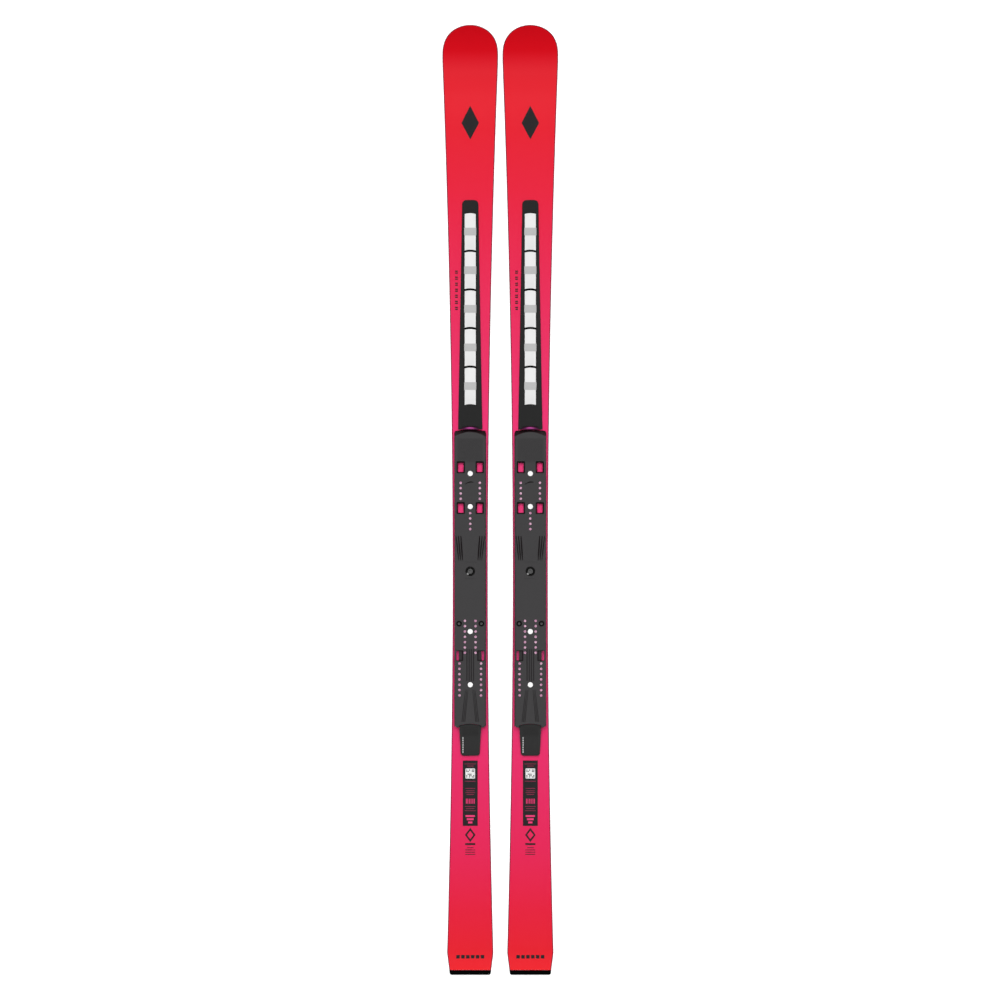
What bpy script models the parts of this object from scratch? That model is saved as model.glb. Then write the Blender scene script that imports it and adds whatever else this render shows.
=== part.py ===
"""A pair of giant slalom racing skis, each with a shock insert and a raised race plate.

Metres, +Z up. X is across the skis, +Y runs to the tips, Z = 0 is the snow.
The origin lies midway between the two skis, under the middle of their length.
"""

import math

import bmesh
import bpy
from mathutils import Matrix, Vector

GAP = 0.0003                 # clearance between touching pieces

# Pair
SKI_X = 0.0565               # each ski's centre line, from the middle of the pair
SIDES = (("left", -SKI_X), ("right", SKI_X))

# Outline of one ski, seen from above
TIP_Y = 0.893
TAIL_Y = -0.893
SHOVEL_Y = 0.8347            # widest point of the shovel
WAIST_Y = -0.1507
TAIL_WIDE_Y = -0.852
SHOVEL_WIDTH = 0.1049
WAIST_WIDTH = 0.066
TAIL_WIDTH = 0.0872
TAIL_END_WIDTH = 0.0765
TIP_ROUNDNESS = 2.55         # exponent of the tip's superellipse
FRONT_SIDECUT = 1.9
SHOVEL_FULLNESS = 0.021      # extra width that builds up close to the shovel
REAR_SIDECUT = 1.83
TAIL_CORNER = 0.005

# Side profile of one ski
FRONT_CONTACT_Y = 0.733
REAR_CONTACT_Y = -0.857
CAMBER = 0.005
TIP_RISE = 0.050
TIP_RISE_POWER = 2.3
TAIL_RISE = 0.006
TAIL_RISE_POWER = 1.8
THICKEST_Y = -0.05
THICKNESS_MAX = 0.0168
THICKNESS_TIP = 0.0052
THICKNESS_TAIL = 0.0066
THICKNESS_FALLOFF = 1.5

# Laminate, heights measured square to the base
BASE_T = 0.0013
SHEET_T = 0.0005             # metal sheet under the core
EDGE_W = 0.0022
EDGE_H = BASE_T + GAP + SHEET_T
CORE_H0 = EDGE_H + GAP       # underside of the core, the sidewalls and the tip insert
TOP_SHEET_T = 0.0008
UPPER_METAL_T = 0.0006
SIDEWALL_W = 0.0070
SIDEWALL_TILT = 0.0009       # how far the sidewall leans in up to the top sheet
TIP_RIM = 0.0004             # how far the tip's inner layers stay inside the base
EDGE_FRONT_Y = 0.800
CORE_FRONT_Y = 0.715
PROTECTOR_Y = -0.884         # front face of the tail protector
PROTECTOR_LIP = 0.0003       # how far the protector stands over the top sheet

# Stations along the ski that all its layers share
MIDDLE_STATIONS = 14
CAP_STATIONS = 9
SLOPE_STEP = 0.0002
TIP_FLAT = 0.003             # narrowest that a layer gets at the tip

# Shock insert, heights above the top sheet
CARRIER_FRONT_Y = 0.5638
CARRIER_REAR_Y = 0.1321
CARRIER_FRONT_W = 0.0304
CARRIER_REAR_W = 0.0458
CARRIER_WIDENING = 1.08
CARRIER_ARCH = 0.010
CARRIER_H = 0.0034
CARRIER_INNER_SHARE = 0.88
CARRIER_RIM = 0.001
CARRIER_RIM_SHARE = 0.06
CHANNEL_HALF_W = 0.0118
CHANNEL_FLOOR_H = 0.0011
BUMPER_CHANNEL_HALF_W = 0.0162
CHANNEL_SPANS = ((0.5415, 0.1765), (0.1388, CARRIER_REAR_Y))
CHANNEL_DISH = 0.0001
BLADE_COUNT = 5
BLADE_FRONT_Y = 0.539
BLADE_PITCH = 0.0726
BLADE_LENGTH = 0.0687
BLADE_HALF_W = 0.0105
BLADE_ARCH = 0.0016
BLADE_H0 = 0.0023
BLADE_T = 0.0018
BLADE_SHOULDER = 0.0005
BAND_OFFSET = 0.0274         # from a blade's front end to its elastomer band
BAND_LENGTH = 0.0144
BAND_WALL = 0.0006
PAD_T = 0.0006
PAD_SETBACK = 0.002          # how far the pad starts behind the first blade's front end
BUMPER_HALF_W = 0.0158
BUMPER_FRONT_Y = 0.1384
BUMPER_ARCH = 0.0028
BUMPER_H = 0.0078
BUMPER_FRONT_H = 0.0058

# Race plate
PLATE_FRONT_Y = 0.1318
PLATE_REAR_Y = -0.428
PLATE_HALF_W = 0.0292
PLATE_TOP_Z = 0.0345
PLATE_REACH = 0.025          # from its top face to well below its underside
PLATE_CHAMFER = 0.0020
PLATE_CORNER = 0.006          # radius of its four corners, seen from above
NOSE_Y = 0.1275              # front of the top face on the centre line
NOSE_SWEEP = 0.009           # how much farther back the top face starts at the sides
NOSE_DROP = 0.0095           # height of the slope in front of it
CUT_MARGIN = 0.005           # how far a cutter reaches past the surface that it opens
NOTCH_FRONT_Y = -0.421
NOTCH_HALF_W = 0.0212
NOTCH_ARCH = 0.0035
TONGUE_REAR_Y = -0.481
TONGUE_FRONT_HALF_W = 0.0207
TONGUE_REAR_HALF_W = 0.018
TONGUE_FRONT_H = 0.0135
TONGUE_REAR_H = 0.0062
TONGUE_CORNER = 0.006
TONGUE_CHAMFER = 0.0008

# Cut-outs in the race plate
WINDOW_X = 0.0178
WINDOW_Y = (0.0614, -0.0153)
WINDOW_SIZE = (0.0108, 0.0180)
WINDOW_FRAME = (0.0155, 0.0225)
WINDOW_FRAME_DEPTH = 0.003
SLOT_Y = -0.293
SLOT_FRAME_X = (0.0133, 0.0269)
SLOT_X = (0.0214, 0.0259)
SLOT_LENGTH = 0.018
SLOT_MARGIN = 0.001
SLOT_DEPTH = 0.006
INSERT_R = 0.0022
INSERT_PITCH = 0.010
INSERT_DEPTH = 0.009
INSERT_ROWS = (              # x, y of the first insert, number of inserts
    (-0.0180, 0.032, 4),
    (0.0180, 0.032, 4),
    (0.0, -0.025, 4),
    (-0.0100, -0.2275, 7),
    (0.0100, -0.2275, 7),
    (-0.0203, -0.3077, 7),
    (0.0203, -0.3077, 7),
)
GROOVE_Y = (-0.068, -0.113)
GROOVE_X = ((0.0265, 0.0209), (0.0180, 0.0143))
GROOVE_W = 0.0025
GROOVE_DEPTH = 0.0022
CENTRE_CHANNEL_X = 0.0052
CENTRE_CHANNEL_Y = (-0.279, -0.336)
CENTRE_CHANNEL_DEPTH = 0.0012

# Fasteners of the race plate
PLATE_SCREW_Y = (0.0494, -0.0127, -0.2476, -0.3477)
PLATE_SCREW_HEAD_R = 0.0049
REAR_SCREW_X = 0.021
REAR_SCREW_Y = -0.2327
REAR_SCREW_HEAD_R = 0.0052
CENTRE_SCREW_Y = -0.1343
CENTRE_SCREW_HEAD_R = 0.0049
HEAD_T = 0.0030
SHANK_R = 0.0024
SHANK_DEPTH = 0.008          # into the ski, below the top sheet
SOCKET_R = 0.0022
SOCKET_DEPTH = 0.0016
CUP_R = 0.00875
CUP_WALL = 0.0028
CUP_T = 0.0036
CUP_FLOOR_T = 0.0012
RIM = 0.0004                 # bevel on the upper rims of the fasteners
ROUND_STEPS = 12
PILOT_SIDES = 8
INSERT_SIDES = 6

# Colour, roughness, metallic
RED = ((0.800, 0.040, 0.105), 0.30, 0.0)
BLACK_PLASTIC = ((0.022, 0.022, 0.022), 0.45, 0.0)
CARRIER_BLACK = ((0.026, 0.026, 0.026), 0.40, 0.0)
PLATE_GREY = ((0.050, 0.050, 0.050), 0.50, 0.0)
TONGUE_GREY = ((0.034, 0.034, 0.034), 0.60, 0.0)
WHITE_PLASTIC = ((0.88, 0.88, 0.88), 0.25, 0.0)
GREY_ELASTOMER = ((0.48, 0.48, 0.48), 0.60, 0.0)
VIOLET_ELASTOMER = ((0.36, 0.05, 0.30), 0.50, 0.0)
STEEL = ((0.55, 0.55, 0.56), 0.30, 1.0)
TITANAL = ((0.60, 0.61, 0.62), 0.40, 1.0)
ASH_WOOD = ((0.62, 0.45, 0.26), 0.60, 0.0)
BASE_BLACK = ((0.012, 0.012, 0.013), 0.35, 0.0)
BLACK_STEEL = ((0.030, 0.030, 0.032), 0.35, 0.6)


# ---- the ski's formulas ----------------------------------------------------------------------

def half_width(y):
    """Half of the ski's width at y."""
    if y >= SHOVEL_Y:
        u = min(1.0, (y - SHOVEL_Y) / (TIP_Y - SHOVEL_Y))
        return SHOVEL_WIDTH / 2 * math.sqrt(1 - u ** TIP_ROUNDNESS)
    if y >= WAIST_Y:
        t = (y - WAIST_Y) / (SHOVEL_Y - WAIST_Y)
        share = min(1.0, t ** FRONT_SIDECUT + SHOVEL_FULLNESS * t ** 5)
        return (WAIST_WIDTH + (SHOVEL_WIDTH - WAIST_WIDTH) * share) / 2
    if y >= TAIL_WIDE_Y:
        t = (WAIST_Y - y) / (WAIST_Y - TAIL_WIDE_Y)
        return (WAIST_WIDTH + (TAIL_WIDTH - WAIST_WIDTH) * t ** REAR_SIDECUT) / 2
    t = (TAIL_WIDE_Y - y) / (TAIL_WIDE_Y - TAIL_Y)
    straight = (TAIL_WIDTH + (TAIL_END_WIDTH - TAIL_WIDTH) * t) / 2
    into_corner = max(0.0, (TAIL_Y + TAIL_CORNER - y) / TAIL_CORNER)
    return straight - TAIL_CORNER * (1 - math.sqrt(1 - min(1.0, into_corner) ** 2))


def base_height(y):
    """Height of the running surface above the snow at y, with the skis unloaded."""
    if y > FRONT_CONTACT_Y:
        return TIP_RISE * ((y - FRONT_CONTACT_Y) / (TIP_Y - FRONT_CONTACT_Y)) ** TIP_RISE_POWER
    if y < REAR_CONTACT_Y:
        return TAIL_RISE * ((REAR_CONTACT_Y - y) / (REAR_CONTACT_Y - TAIL_Y)) ** TAIL_RISE_POWER
    s = (y - REAR_CONTACT_Y) / (FRONT_CONTACT_Y - REAR_CONTACT_Y)
    return CAMBER * math.sin(math.pi * s) ** 2


def thickness(y):
    """Thickness of the ski at y, square to the base."""
    if y >= THICKEST_Y:
        u = (y - THICKEST_Y) / (TIP_Y - THICKEST_Y)
        end = THICKNESS_TIP
    else:
        u = (THICKEST_Y - y) / (THICKEST_Y - TAIL_Y)
        end = THICKNESS_TAIL
    bulge = max(0.0, math.cos(math.pi / 2 * u)) ** THICKNESS_FALLOFF
    return end + (THICKNESS_MAX - end) * bulge


def lift(y, height):
    """World z of a point that lies height above the base, square to it."""
    slope = (base_height(y) - base_height(y - SLOPE_STEP)) / SLOPE_STEP
    return base_height(y) + height * math.sqrt(1 + slope ** 2)


def on_top(y, height):
    """World z of a point that lies height above the top sheet."""
    return lift(y, thickness(y) + height)


def top_slope(y):
    """Slope of the top sheet's surface along the ski."""
    return (on_top(y + BLADE_LENGTH / 2, 0) - on_top(y - BLADE_LENGTH / 2, 0)) / BLADE_LENGTH


def all_stations():
    """The shared stations, from the tail to the tip, closer together where the ski curves."""
    rear = [TAIL_Y, TAIL_Y + 0.001, TAIL_Y + 0.004, PROTECTOR_Y, PROTECTOR_Y + GAP, -0.875, -0.866]
    rear += [REAR_CONTACT_Y]
    middle_step = (CORE_FRONT_Y - TAIL_WIDE_Y) / MIDDLE_STATIONS
    middle = [TAIL_WIDE_Y + middle_step * i for i in range(MIDDLE_STATIONS + 1)]
    shovel = [CORE_FRONT_Y + GAP, FRONT_CONTACT_Y, 0.750, 0.765, 0.778, 0.790]
    shovel += [EDGE_FRONT_Y, EDGE_FRONT_Y + GAP, 0.812, 0.824]
    cap = []
    for i in range(CAP_STATIONS + 1):
        u = math.sin(math.pi / 2 * i / CAP_STATIONS) * 0.9985
        cap.append(SHOVEL_Y + (TIP_Y - SHOVEL_Y) * u)
    return rear + middle + shovel + cap


def stations(rear, front):
    """The shared stations between two places, both included."""
    inner = [y for y in all_stations() if rear + 1e-6 < y < front - 1e-6]
    return [rear] + inner + [front]


def tip_station(inset):
    """The foremost shared station at which a layer this far inside the outline is still 3 mm wide."""
    return max(y for y in all_stations() if half_width(y) - inset > TIP_FLAT / 2)


# ---- building blocks -------------------------------------------------------------------------

def clear_scene():
    for old in list(bpy.data.objects):
        bpy.data.objects.remove(old, do_unlink=True)


def new_collection(name):
    collection = bpy.data.collections.new(name)
    bpy.context.scene.collection.children.link(collection)
    return collection


def finish(obj, name, finish_values):
    """Name an object and give it its own material."""
    colour, roughness, metallic = finish_values
    obj.name = name
    material = bpy.data.materials.new(name)
    material.use_nodes = True
    shader = material.node_tree.nodes["Principled BSDF"]
    shader.inputs["Base Color"].default_value = (*colour, 1)
    shader.inputs["Roughness"].default_value = roughness
    shader.inputs["Metallic"].default_value = metallic
    obj.data.materials.clear()
    obj.data.materials.append(material)


def object_from_bmesh(name, bm, collection):
    bmesh.ops.recalc_face_normals(bm, faces=bm.faces)
    mesh = bpy.data.meshes.new(name)
    bm.to_mesh(mesh)
    bm.free()
    obj = bpy.data.objects.new(name, mesh)
    collection.objects.link(obj)
    return obj


def loft(name, rings, collection):
    """A closed solid through rings of equally many points, capped at both ends."""
    bm = bmesh.new()
    loops = [[bm.verts.new(point) for point in ring] for ring in rings]
    count = len(rings[0])
    for near, far in zip(loops, loops[1:]):
        for i in range(count):
            j = (i + 1) % count
            bm.faces.new((near[i], near[j], far[j], far[i]))
    bm.faces.new(loops[0])
    bm.faces.new(loops[-1])
    return object_from_bmesh(name, bm, collection)


def layer(name, spans, bottom, top, collection):
    """A layer of the ski. spans gives (y, x_from, x_to); bottom and top give heights at y."""
    rings = []
    for y, x0, x1 in spans:
        z0 = lift(y, bottom(y))
        z1 = lift(y, top(y))
        rings.append([(x0, y, z0), (x1, y, z0), (x1, y, z1), (x0, y, z1)])
    return loft(name, rings, collection)


def turned(name, profile, collection):
    """A solid of revolution about Z; the profile runs down its outer side, from axis to axis."""
    mesh = bpy.data.meshes.new(name)
    edges = [(i, i + 1) for i in range(len(profile) - 1)]
    mesh.from_pydata([(r, 0, z) for r, z in profile], edges, [])
    obj = bpy.data.objects.new(name, mesh)
    collection.objects.link(obj)
    screw = obj.modifiers.new("Turn", "SCREW")
    screw.axis = "Z"
    screw.steps = ROUND_STEPS
    screw.render_steps = ROUND_STEPS
    screw.use_merge_vertices = True
    screw.merge_threshold = 0.00001
    screw.use_smooth_shade = False
    return obj


def add_box(bm, x0, x1, y0, y1, z0, z1):
    """Add a box between two corners to a cutter's mesh."""
    centre = Vector(((x0 + x1) / 2, (y0 + y1) / 2, (z0 + z1) / 2))
    size = Matrix.Diagonal((x1 - x0, y1 - y0, z1 - z0, 1))
    bmesh.ops.create_cube(bm, size=1, matrix=Matrix.Translation(centre) @ size)


def add_drill(bm, x, y, clear_radius, z0, z1, sides):
    """Add an upright prism, round enough for a pin of this radius, to a cutter's mesh."""
    radius = clear_radius / math.cos(math.pi / sides)
    bmesh.ops.create_cone(
        bm, cap_ends=True, segments=sides, radius1=radius, radius2=radius, depth=z1 - z0,
        matrix=Matrix.Translation((x, y, (z0 + z1) / 2)))


def cut_with(obj, tool, operation="DIFFERENCE"):
    """Take a cutter from an object, or add it."""
    tool.hide_render = True
    tool.display_type = "WIRE"
    boolean = obj.modifiers.new("Cut", "BOOLEAN")
    boolean.operation = operation
    boolean.solver = "EXACT"
    boolean.object = tool


def cut(obj, bm, cutters, operation="DIFFERENCE"):
    """Take a mesh of disjoint closed shapes from an object, or add it."""
    cut_with(obj, object_from_bmesh(obj.name + "_cutter", bm, cutters), operation)


# ---- laminate --------------------------------------------------------------------------------

def base_sheet(collection):
    """The running base: between the edges, and out to the rim where the edges have ended."""
    spans = []
    for y in stations(PROTECTOR_Y + GAP, tip_station(TIP_RIM / 2)):
        inset = EDGE_W + GAP if y <= EDGE_FRONT_Y + GAP / 2 else TIP_RIM / 2
        w = half_width(y) - inset
        spans.append((y, -w, w))
    return layer("base_sheet", spans, lambda y: 0, lambda y: BASE_T, collection)


def steel_edge(sign, collection):
    spans = []
    for y in stations(PROTECTOR_Y + GAP, EDGE_FRONT_Y):
        w = half_width(y)
        spans.append((y, sign * (w - EDGE_W), sign * w))
    return layer("steel_edge", spans, lambda y: 0, lambda y: EDGE_H, collection)


def lower_metal(collection):
    spans = []
    for y in stations(PROTECTOR_Y + GAP, tip_station(EDGE_W + GAP)):
        w = half_width(y) - EDGE_W - GAP
        spans.append((y, -w, w))
    return layer("lower_metal", spans, lambda y: BASE_T + GAP, lambda y: EDGE_H, collection)


def under_top_sheet(y):
    return thickness(y) - TOP_SHEET_T - GAP


def wood_core(collection):
    spans = []
    for y in stations(PROTECTOR_Y + GAP, CORE_FRONT_Y):
        w = half_width(y) - SIDEWALL_W - GAP
        spans.append((y, -w, w))
    return layer("wood_core", spans, lambda y: CORE_H0,
                 lambda y: under_top_sheet(y) - UPPER_METAL_T - GAP, collection)


def upper_metal(collection):
    spans = []
    for y in stations(PROTECTOR_Y + GAP, CORE_FRONT_Y):
        w = half_width(y) - SIDEWALL_W - GAP
        spans.append((y, -w, w))
    return layer("upper_metal", spans, lambda y: under_top_sheet(y) - UPPER_METAL_T,
                 under_top_sheet, collection)


def sidewall(sign, collection):
    """The sidewall leans in from the steel edge up to the top sheet."""
    rings = []
    for y in stations(PROTECTOR_Y + GAP, CORE_FRONT_Y):
        w = half_width(y)
        z0 = lift(y, CORE_H0)
        z1 = lift(y, under_top_sheet(y))
        inner = sign * (w - SIDEWALL_W)
        foot = sign * (w - SIDEWALL_TILT / 6)
        head = sign * (w - SIDEWALL_TILT)
        rings.append([(inner, y, z0), (foot, y, z0), (head, y, z1), (inner, y, z1)])
    return loft("sidewall", rings, collection)


def tip_insert(collection):
    """The moulded spacer that fills the shovel in front of the core."""
    spans = []
    for y in stations(CORE_FRONT_Y + GAP, tip_station(TIP_RIM)):
        w = half_width(y) - TIP_RIM
        spans.append((y, -w, w))
    return layer("tip_insert", spans, lambda y: CORE_H0, under_top_sheet, collection)


def top_sheet(collection):
    """The printed top sheet, with the round of its upper rim."""
    rings = []
    for y in stations(PROTECTOR_Y + GAP, tip_station(SIDEWALL_TILT)):
        w = half_width(y) - SIDEWALL_TILT
        z0 = lift(y, thickness(y) - TOP_SHEET_T)
        z1 = lift(y, thickness(y) - TOP_SHEET_T / 2)
        z2 = lift(y, thickness(y))
        rim = TOP_SHEET_T / 2
        rings.append([(-w, y, z0), (w, y, z0), (w, y, z1), (w - rim, y, z2),
                      (rim - w, y, z2), (-w, y, z1)])
    return loft("top_sheet", rings, collection)


def tail_protector(collection):
    """The cap that closes the laminate at the tail."""
    rings = []
    for y in stations(TAIL_Y, PROTECTOR_Y):
        w = half_width(y)
        z0 = lift(y, PROTECTOR_LIP)
        z1 = lift(y, thickness(y) - TOP_SHEET_T)
        z2 = lift(y, thickness(y) + PROTECTOR_LIP)
        rings.append([(-w, y, z0), (w, y, z0), (w, y, z1), (w - SIDEWALL_TILT, y, z2),
                      (SIDEWALL_TILT - w, y, z2), (-w, y, z1)])
    return loft("tail_protector", rings, collection)


# ---- shock insert ----------------------------------------------------------------------------

def carrier_half_width(y):
    """Half width of the insert's carrier, which widens to the plate and is arched in front."""
    t = (CARRIER_FRONT_Y - y) / (CARRIER_FRONT_Y - CARRIER_REAR_Y)
    straight = (CARRIER_FRONT_W + (CARRIER_REAR_W - CARRIER_FRONT_W) * t ** CARRIER_WIDENING) / 2
    into_arch = max(0.0, (y - CARRIER_FRONT_Y + CARRIER_ARCH) / CARRIER_ARCH)
    return straight * (1 - 0.999 * into_arch ** 2) ** 0.2


def carrier_stations():
    """Places along the carrier, with a pair at each end of its channels."""
    arch = [CARRIER_FRONT_Y - CARRIER_ARCH * k for k in (0, 0.02, 0.08, 0.22, 0.5, 1)]
    ends = [CARRIER_REAR_Y]
    for front, rear in CHANNEL_SPANS:
        ends += [front, front - GAP / 3, rear, rear + GAP / 3]
    middle = [y for y in all_stations() if CARRIER_REAR_Y < y < CARRIER_FRONT_Y - CARRIER_ARCH]
    return sorted(set(arch + ends + middle))


def in_channel(y):
    open_rear = abs(y - CARRIER_REAR_Y) < 1e-9
    return open_rear or any(rear < y < front for front, rear in CHANNEL_SPANS)


def damper_carrier(collection):
    """The tray on the top sheet that holds the blades and, at its rear, the bumper."""
    rings = []
    for y in carrier_stations():
        w = carrier_half_width(y)
        under_bumper = y < CHANNEL_SPANS[1][0] + GAP
        channel = BUMPER_CHANNEL_HALF_W if under_bumper else CHANNEL_HALF_W
        channel = min(channel, w * CARRIER_INNER_SHARE)
        floor_h = CHANNEL_FLOOR_H if in_channel(y) else CARRIER_H - CHANNEL_DISH
        bottom = on_top(y, GAP)
        top = on_top(y, CARRIER_H)
        shoulder = on_top(y, CARRIER_H - CARRIER_RIM)
        floor = on_top(y, floor_h)
        rim = min(CARRIER_RIM, w * CARRIER_RIM_SHARE)
        rings.append([
            (-w, y, bottom), (w, y, bottom), (w, y, shoulder), (w - rim, y, top),
            (channel, y, top), (channel, y, floor), (-channel, y, floor), (-channel, y, top),
            (rim - w, y, top), (-w, y, shoulder)])
    return loft("damper_carrier", rings, collection)


def blade_front(index):
    return BLADE_FRONT_Y - BLADE_PITCH * index


def damper_blade(index, collection):
    """One blade: a flat bar with arched ends and lower shoulders, its origin at its middle."""
    middle_y = blade_front(index) - BLADE_LENGTH / 2
    rings = []
    for part in (-1, -0.78, -0.4, 0, 0.4, 0.78, 1):
        x = BLADE_HALF_W * part
        arch = BLADE_ARCH * part ** 2
        rear = -BLADE_LENGTH / 2 - arch
        front = BLADE_LENGTH / 2 - arch
        top = BLADE_T - (BLADE_SHOULDER if abs(part) == 1 else 0)
        rings.append([(x, rear, 0), (x, front, 0), (x, front, top), (x, rear, top)])
    blade = loft("damper_blade", rings, collection)
    blade.location = (0, middle_y, on_top(middle_y, BLADE_H0))
    blade.rotation_euler = (math.atan(top_slope(middle_y)), 0, 0)
    return blade


def damper_elastomer(collection, cutters):
    """A pad under the blades with a loop around each blade, in one piece."""
    inner = BLADE_HALF_W + GAP
    outer = inner + BAND_WALL
    pad_rear = blade_front(BLADE_COUNT - 1) - BLADE_LENGTH
    rings = []
    pad_front = BLADE_FRONT_Y - PAD_SETBACK
    inner_stations = [y for y in carrier_stations() if pad_rear < y < pad_front]
    for y in [pad_rear] + inner_stations + [pad_front]:
        z0 = on_top(y, CHANNEL_FLOOR_H + GAP)
        z1 = on_top(y, CHANNEL_FLOOR_H + GAP + PAD_T)
        rings.append([(-outer, y, z0), (outer, y, z0), (outer, y, z1), (-outer, y, z1)])
    pad = loft("damper_elastomer", rings, collection)
    loops = bmesh.new()
    passages = bmesh.new()
    for index in range(BLADE_COUNT):
        y1 = blade_front(index) - BAND_OFFSET
        y0 = y1 - BAND_LENGTH
        low = on_top(y1, CHANNEL_FLOOR_H + GAP + PAD_T / 3)
        blade_low = on_top(y1, BLADE_H0 - GAP)
        blade_high = on_top(y0, BLADE_H0 + BLADE_T + GAP)
        add_box(loops, -outer, outer, y0, y1, low, blade_high + BAND_WALL)
        add_box(passages, -inner, inner, y0 - GAP, y1 + GAP, blade_low, blade_high)
    cut(pad, loops, cutters, "UNION")
    cut(pad, passages, cutters)
    return pad


def plate_bumper(collection):
    """The coloured bumper between the carrier and the nose of the plate."""
    rings = []
    for part in (-1, -0.6, -0.2, 0.2, 0.6, 1):
        x = BUMPER_HALF_W * part
        front = BUMPER_FRONT_Y - BUMPER_ARCH * part ** 2
        rear = PLATE_FRONT_Y + GAP
        low = CHANNEL_FLOOR_H + GAP
        rings.append([
            (x, rear, on_top(rear, low)), (x, front, on_top(front, low)),
            (x, front, on_top(front, BUMPER_FRONT_H)), (x, rear, on_top(rear, BUMPER_H))])
    return loft("plate_bumper", rings, collection)


# ---- race plate ------------------------------------------------------------------------------

def plate_half_width(y):
    """Half width of the plate at y, with its four corners rounded."""
    to_end = min(y - PLATE_REAR_Y, PLATE_FRONT_Y - y)
    into_corner = min(1.0, max(0.0, 1 - to_end / PLATE_CORNER))
    return PLATE_HALF_W - PLATE_CORNER * (1 - math.sqrt(1 - into_corner ** 2))


def race_plate(collection, cutters):
    """The raised plate that carries the binding, with its cut-outs."""
    rear_corner = [PLATE_REAR_Y + PLATE_CORNER * k for k in (0, 0.1, 0.35, 0.7, 1)]
    front_corner = [PLATE_FRONT_Y - PLATE_CORNER * k for k in (1, 0.7, 0.35, 0.1, 0)]
    middle = [y for y in all_stations() if rear_corner[-1] < y < front_corner[0]]
    shoulder = PLATE_TOP_Z - PLATE_CHAMFER
    rings = []
    for y in rear_corner + middle + front_corner:
        w = plate_half_width(y)
        flat = w - PLATE_CHAMFER
        bottom = on_top(y, GAP)
        rings.append([(-w, y, bottom), (w, y, bottom), (w, y, shoulder), (flat, y, PLATE_TOP_Z),
                      (-flat, y, PLATE_TOP_Z), (-w, y, shoulder)])
    plate = loft("race_plate", rings, collection)
    nose_cut(plate, cutters)
    cut(plate, plate_through_cuts(), cutters)
    cut(plate, plate_recesses(), cutters)
    cut(plate, tongue_notch(), cutters)
    return plate


def nose_cut(plate, cutters):
    """The slope in front of the top face, which starts along an arch."""
    high = PLATE_TOP_Z + CUT_MARGIN
    low = PLATE_TOP_Z - NOSE_DROP
    foot = PLATE_FRONT_Y + GAP
    front = PLATE_FRONT_Y + CUT_MARGIN
    reach = 1 + CUT_MARGIN / PLATE_HALF_W
    rings = []
    for part in (-reach, -1, -0.8, -0.55, -0.3, 0, 0.3, 0.55, 0.8, 1, reach):
        x = PLATE_HALF_W * part
        start = NOSE_Y - NOSE_SWEEP * part ** 2
        rings.append([(x, start, high), (x, start, PLATE_TOP_Z), (x, foot, low),
                      (x, front, low), (x, front, high)])
    cut_with(plate, loft("nose_cutter", rings, cutters))


def screw_places():
    """x, y and head radius of every screw that holds the plate."""
    places = [(0, y, PLATE_SCREW_HEAD_R) for y in PLATE_SCREW_Y]
    places += [(sign * REAR_SCREW_X, REAR_SCREW_Y, REAR_SCREW_HEAD_R) for sign in (-1, 1)]
    return places + [(0, CENTRE_SCREW_Y, CENTRE_SCREW_HEAD_R)]


def plate_through_cuts():
    """Windows, slots and screw holes that go right through."""
    bm = bmesh.new()
    low = PLATE_TOP_Z - PLATE_REACH
    high = PLATE_TOP_Z + CUT_MARGIN
    for sign in (-1, 1):
        for y in WINDOW_Y:
            x = sign * WINDOW_X
            half_w, half_l = WINDOW_SIZE[0] / 2, WINDOW_SIZE[1] / 2
            add_box(bm, x - half_w, x + half_w, y - half_l, y + half_l, low, high)
        slot = sorted(sign * x for x in SLOT_X)
        add_box(bm, *slot, SLOT_Y - SLOT_LENGTH / 2, SLOT_Y + SLOT_LENGTH / 2, low, high)
    for x, y, _ in screw_places():
        add_drill(bm, x, y, SHANK_R + GAP, low, high, PILOT_SIDES)
    return bm


def plate_recesses():
    """Recesses that stay open to the top face."""
    bm = bmesh.new()
    high = PLATE_TOP_Z + CUT_MARGIN
    for sign in (-1, 1):
        for y in WINDOW_Y:
            x = sign * WINDOW_X
            half_w, half_l = WINDOW_FRAME[0] / 2, WINDOW_FRAME[1] / 2
            add_box(bm, x - half_w, x + half_w, y - half_l, y + half_l,
                    PLATE_TOP_Z - WINDOW_FRAME_DEPTH, high)
        frame = sorted(sign * x for x in SLOT_FRAME_X)
        half_l = SLOT_LENGTH / 2 + SLOT_MARGIN
        add_box(bm, *frame, SLOT_Y - half_l, SLOT_Y + half_l, PLATE_TOP_Z - SLOT_DEPTH, high)
        for x_front, x_rear in GROOVE_X:
            add_groove(bm, sign * x_front, sign * x_rear)
    for x, y, head_r in screw_places():
        if y == CENTRE_SCREW_Y:
            add_drill(bm, x, y, CUP_R + GAP, PLATE_TOP_Z - CUP_T - GAP, high, ROUND_STEPS)
        else:
            add_drill(bm, x, y, head_r + GAP, PLATE_TOP_Z - HEAD_T - GAP, high, ROUND_STEPS)
    for x, first, count in INSERT_ROWS:
        for i in range(count):
            y = first - INSERT_PITCH * i
            add_drill(bm, x, y, INSERT_R, PLATE_TOP_Z - INSERT_DEPTH, high, INSERT_SIDES)
    rear, front = CENTRE_CHANNEL_Y[1], CENTRE_CHANNEL_Y[0]
    add_box(bm, -CENTRE_CHANNEL_X, CENTRE_CHANNEL_X, rear, front,
            PLATE_TOP_Z - CENTRE_CHANNEL_DEPTH, high)
    return bm


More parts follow.
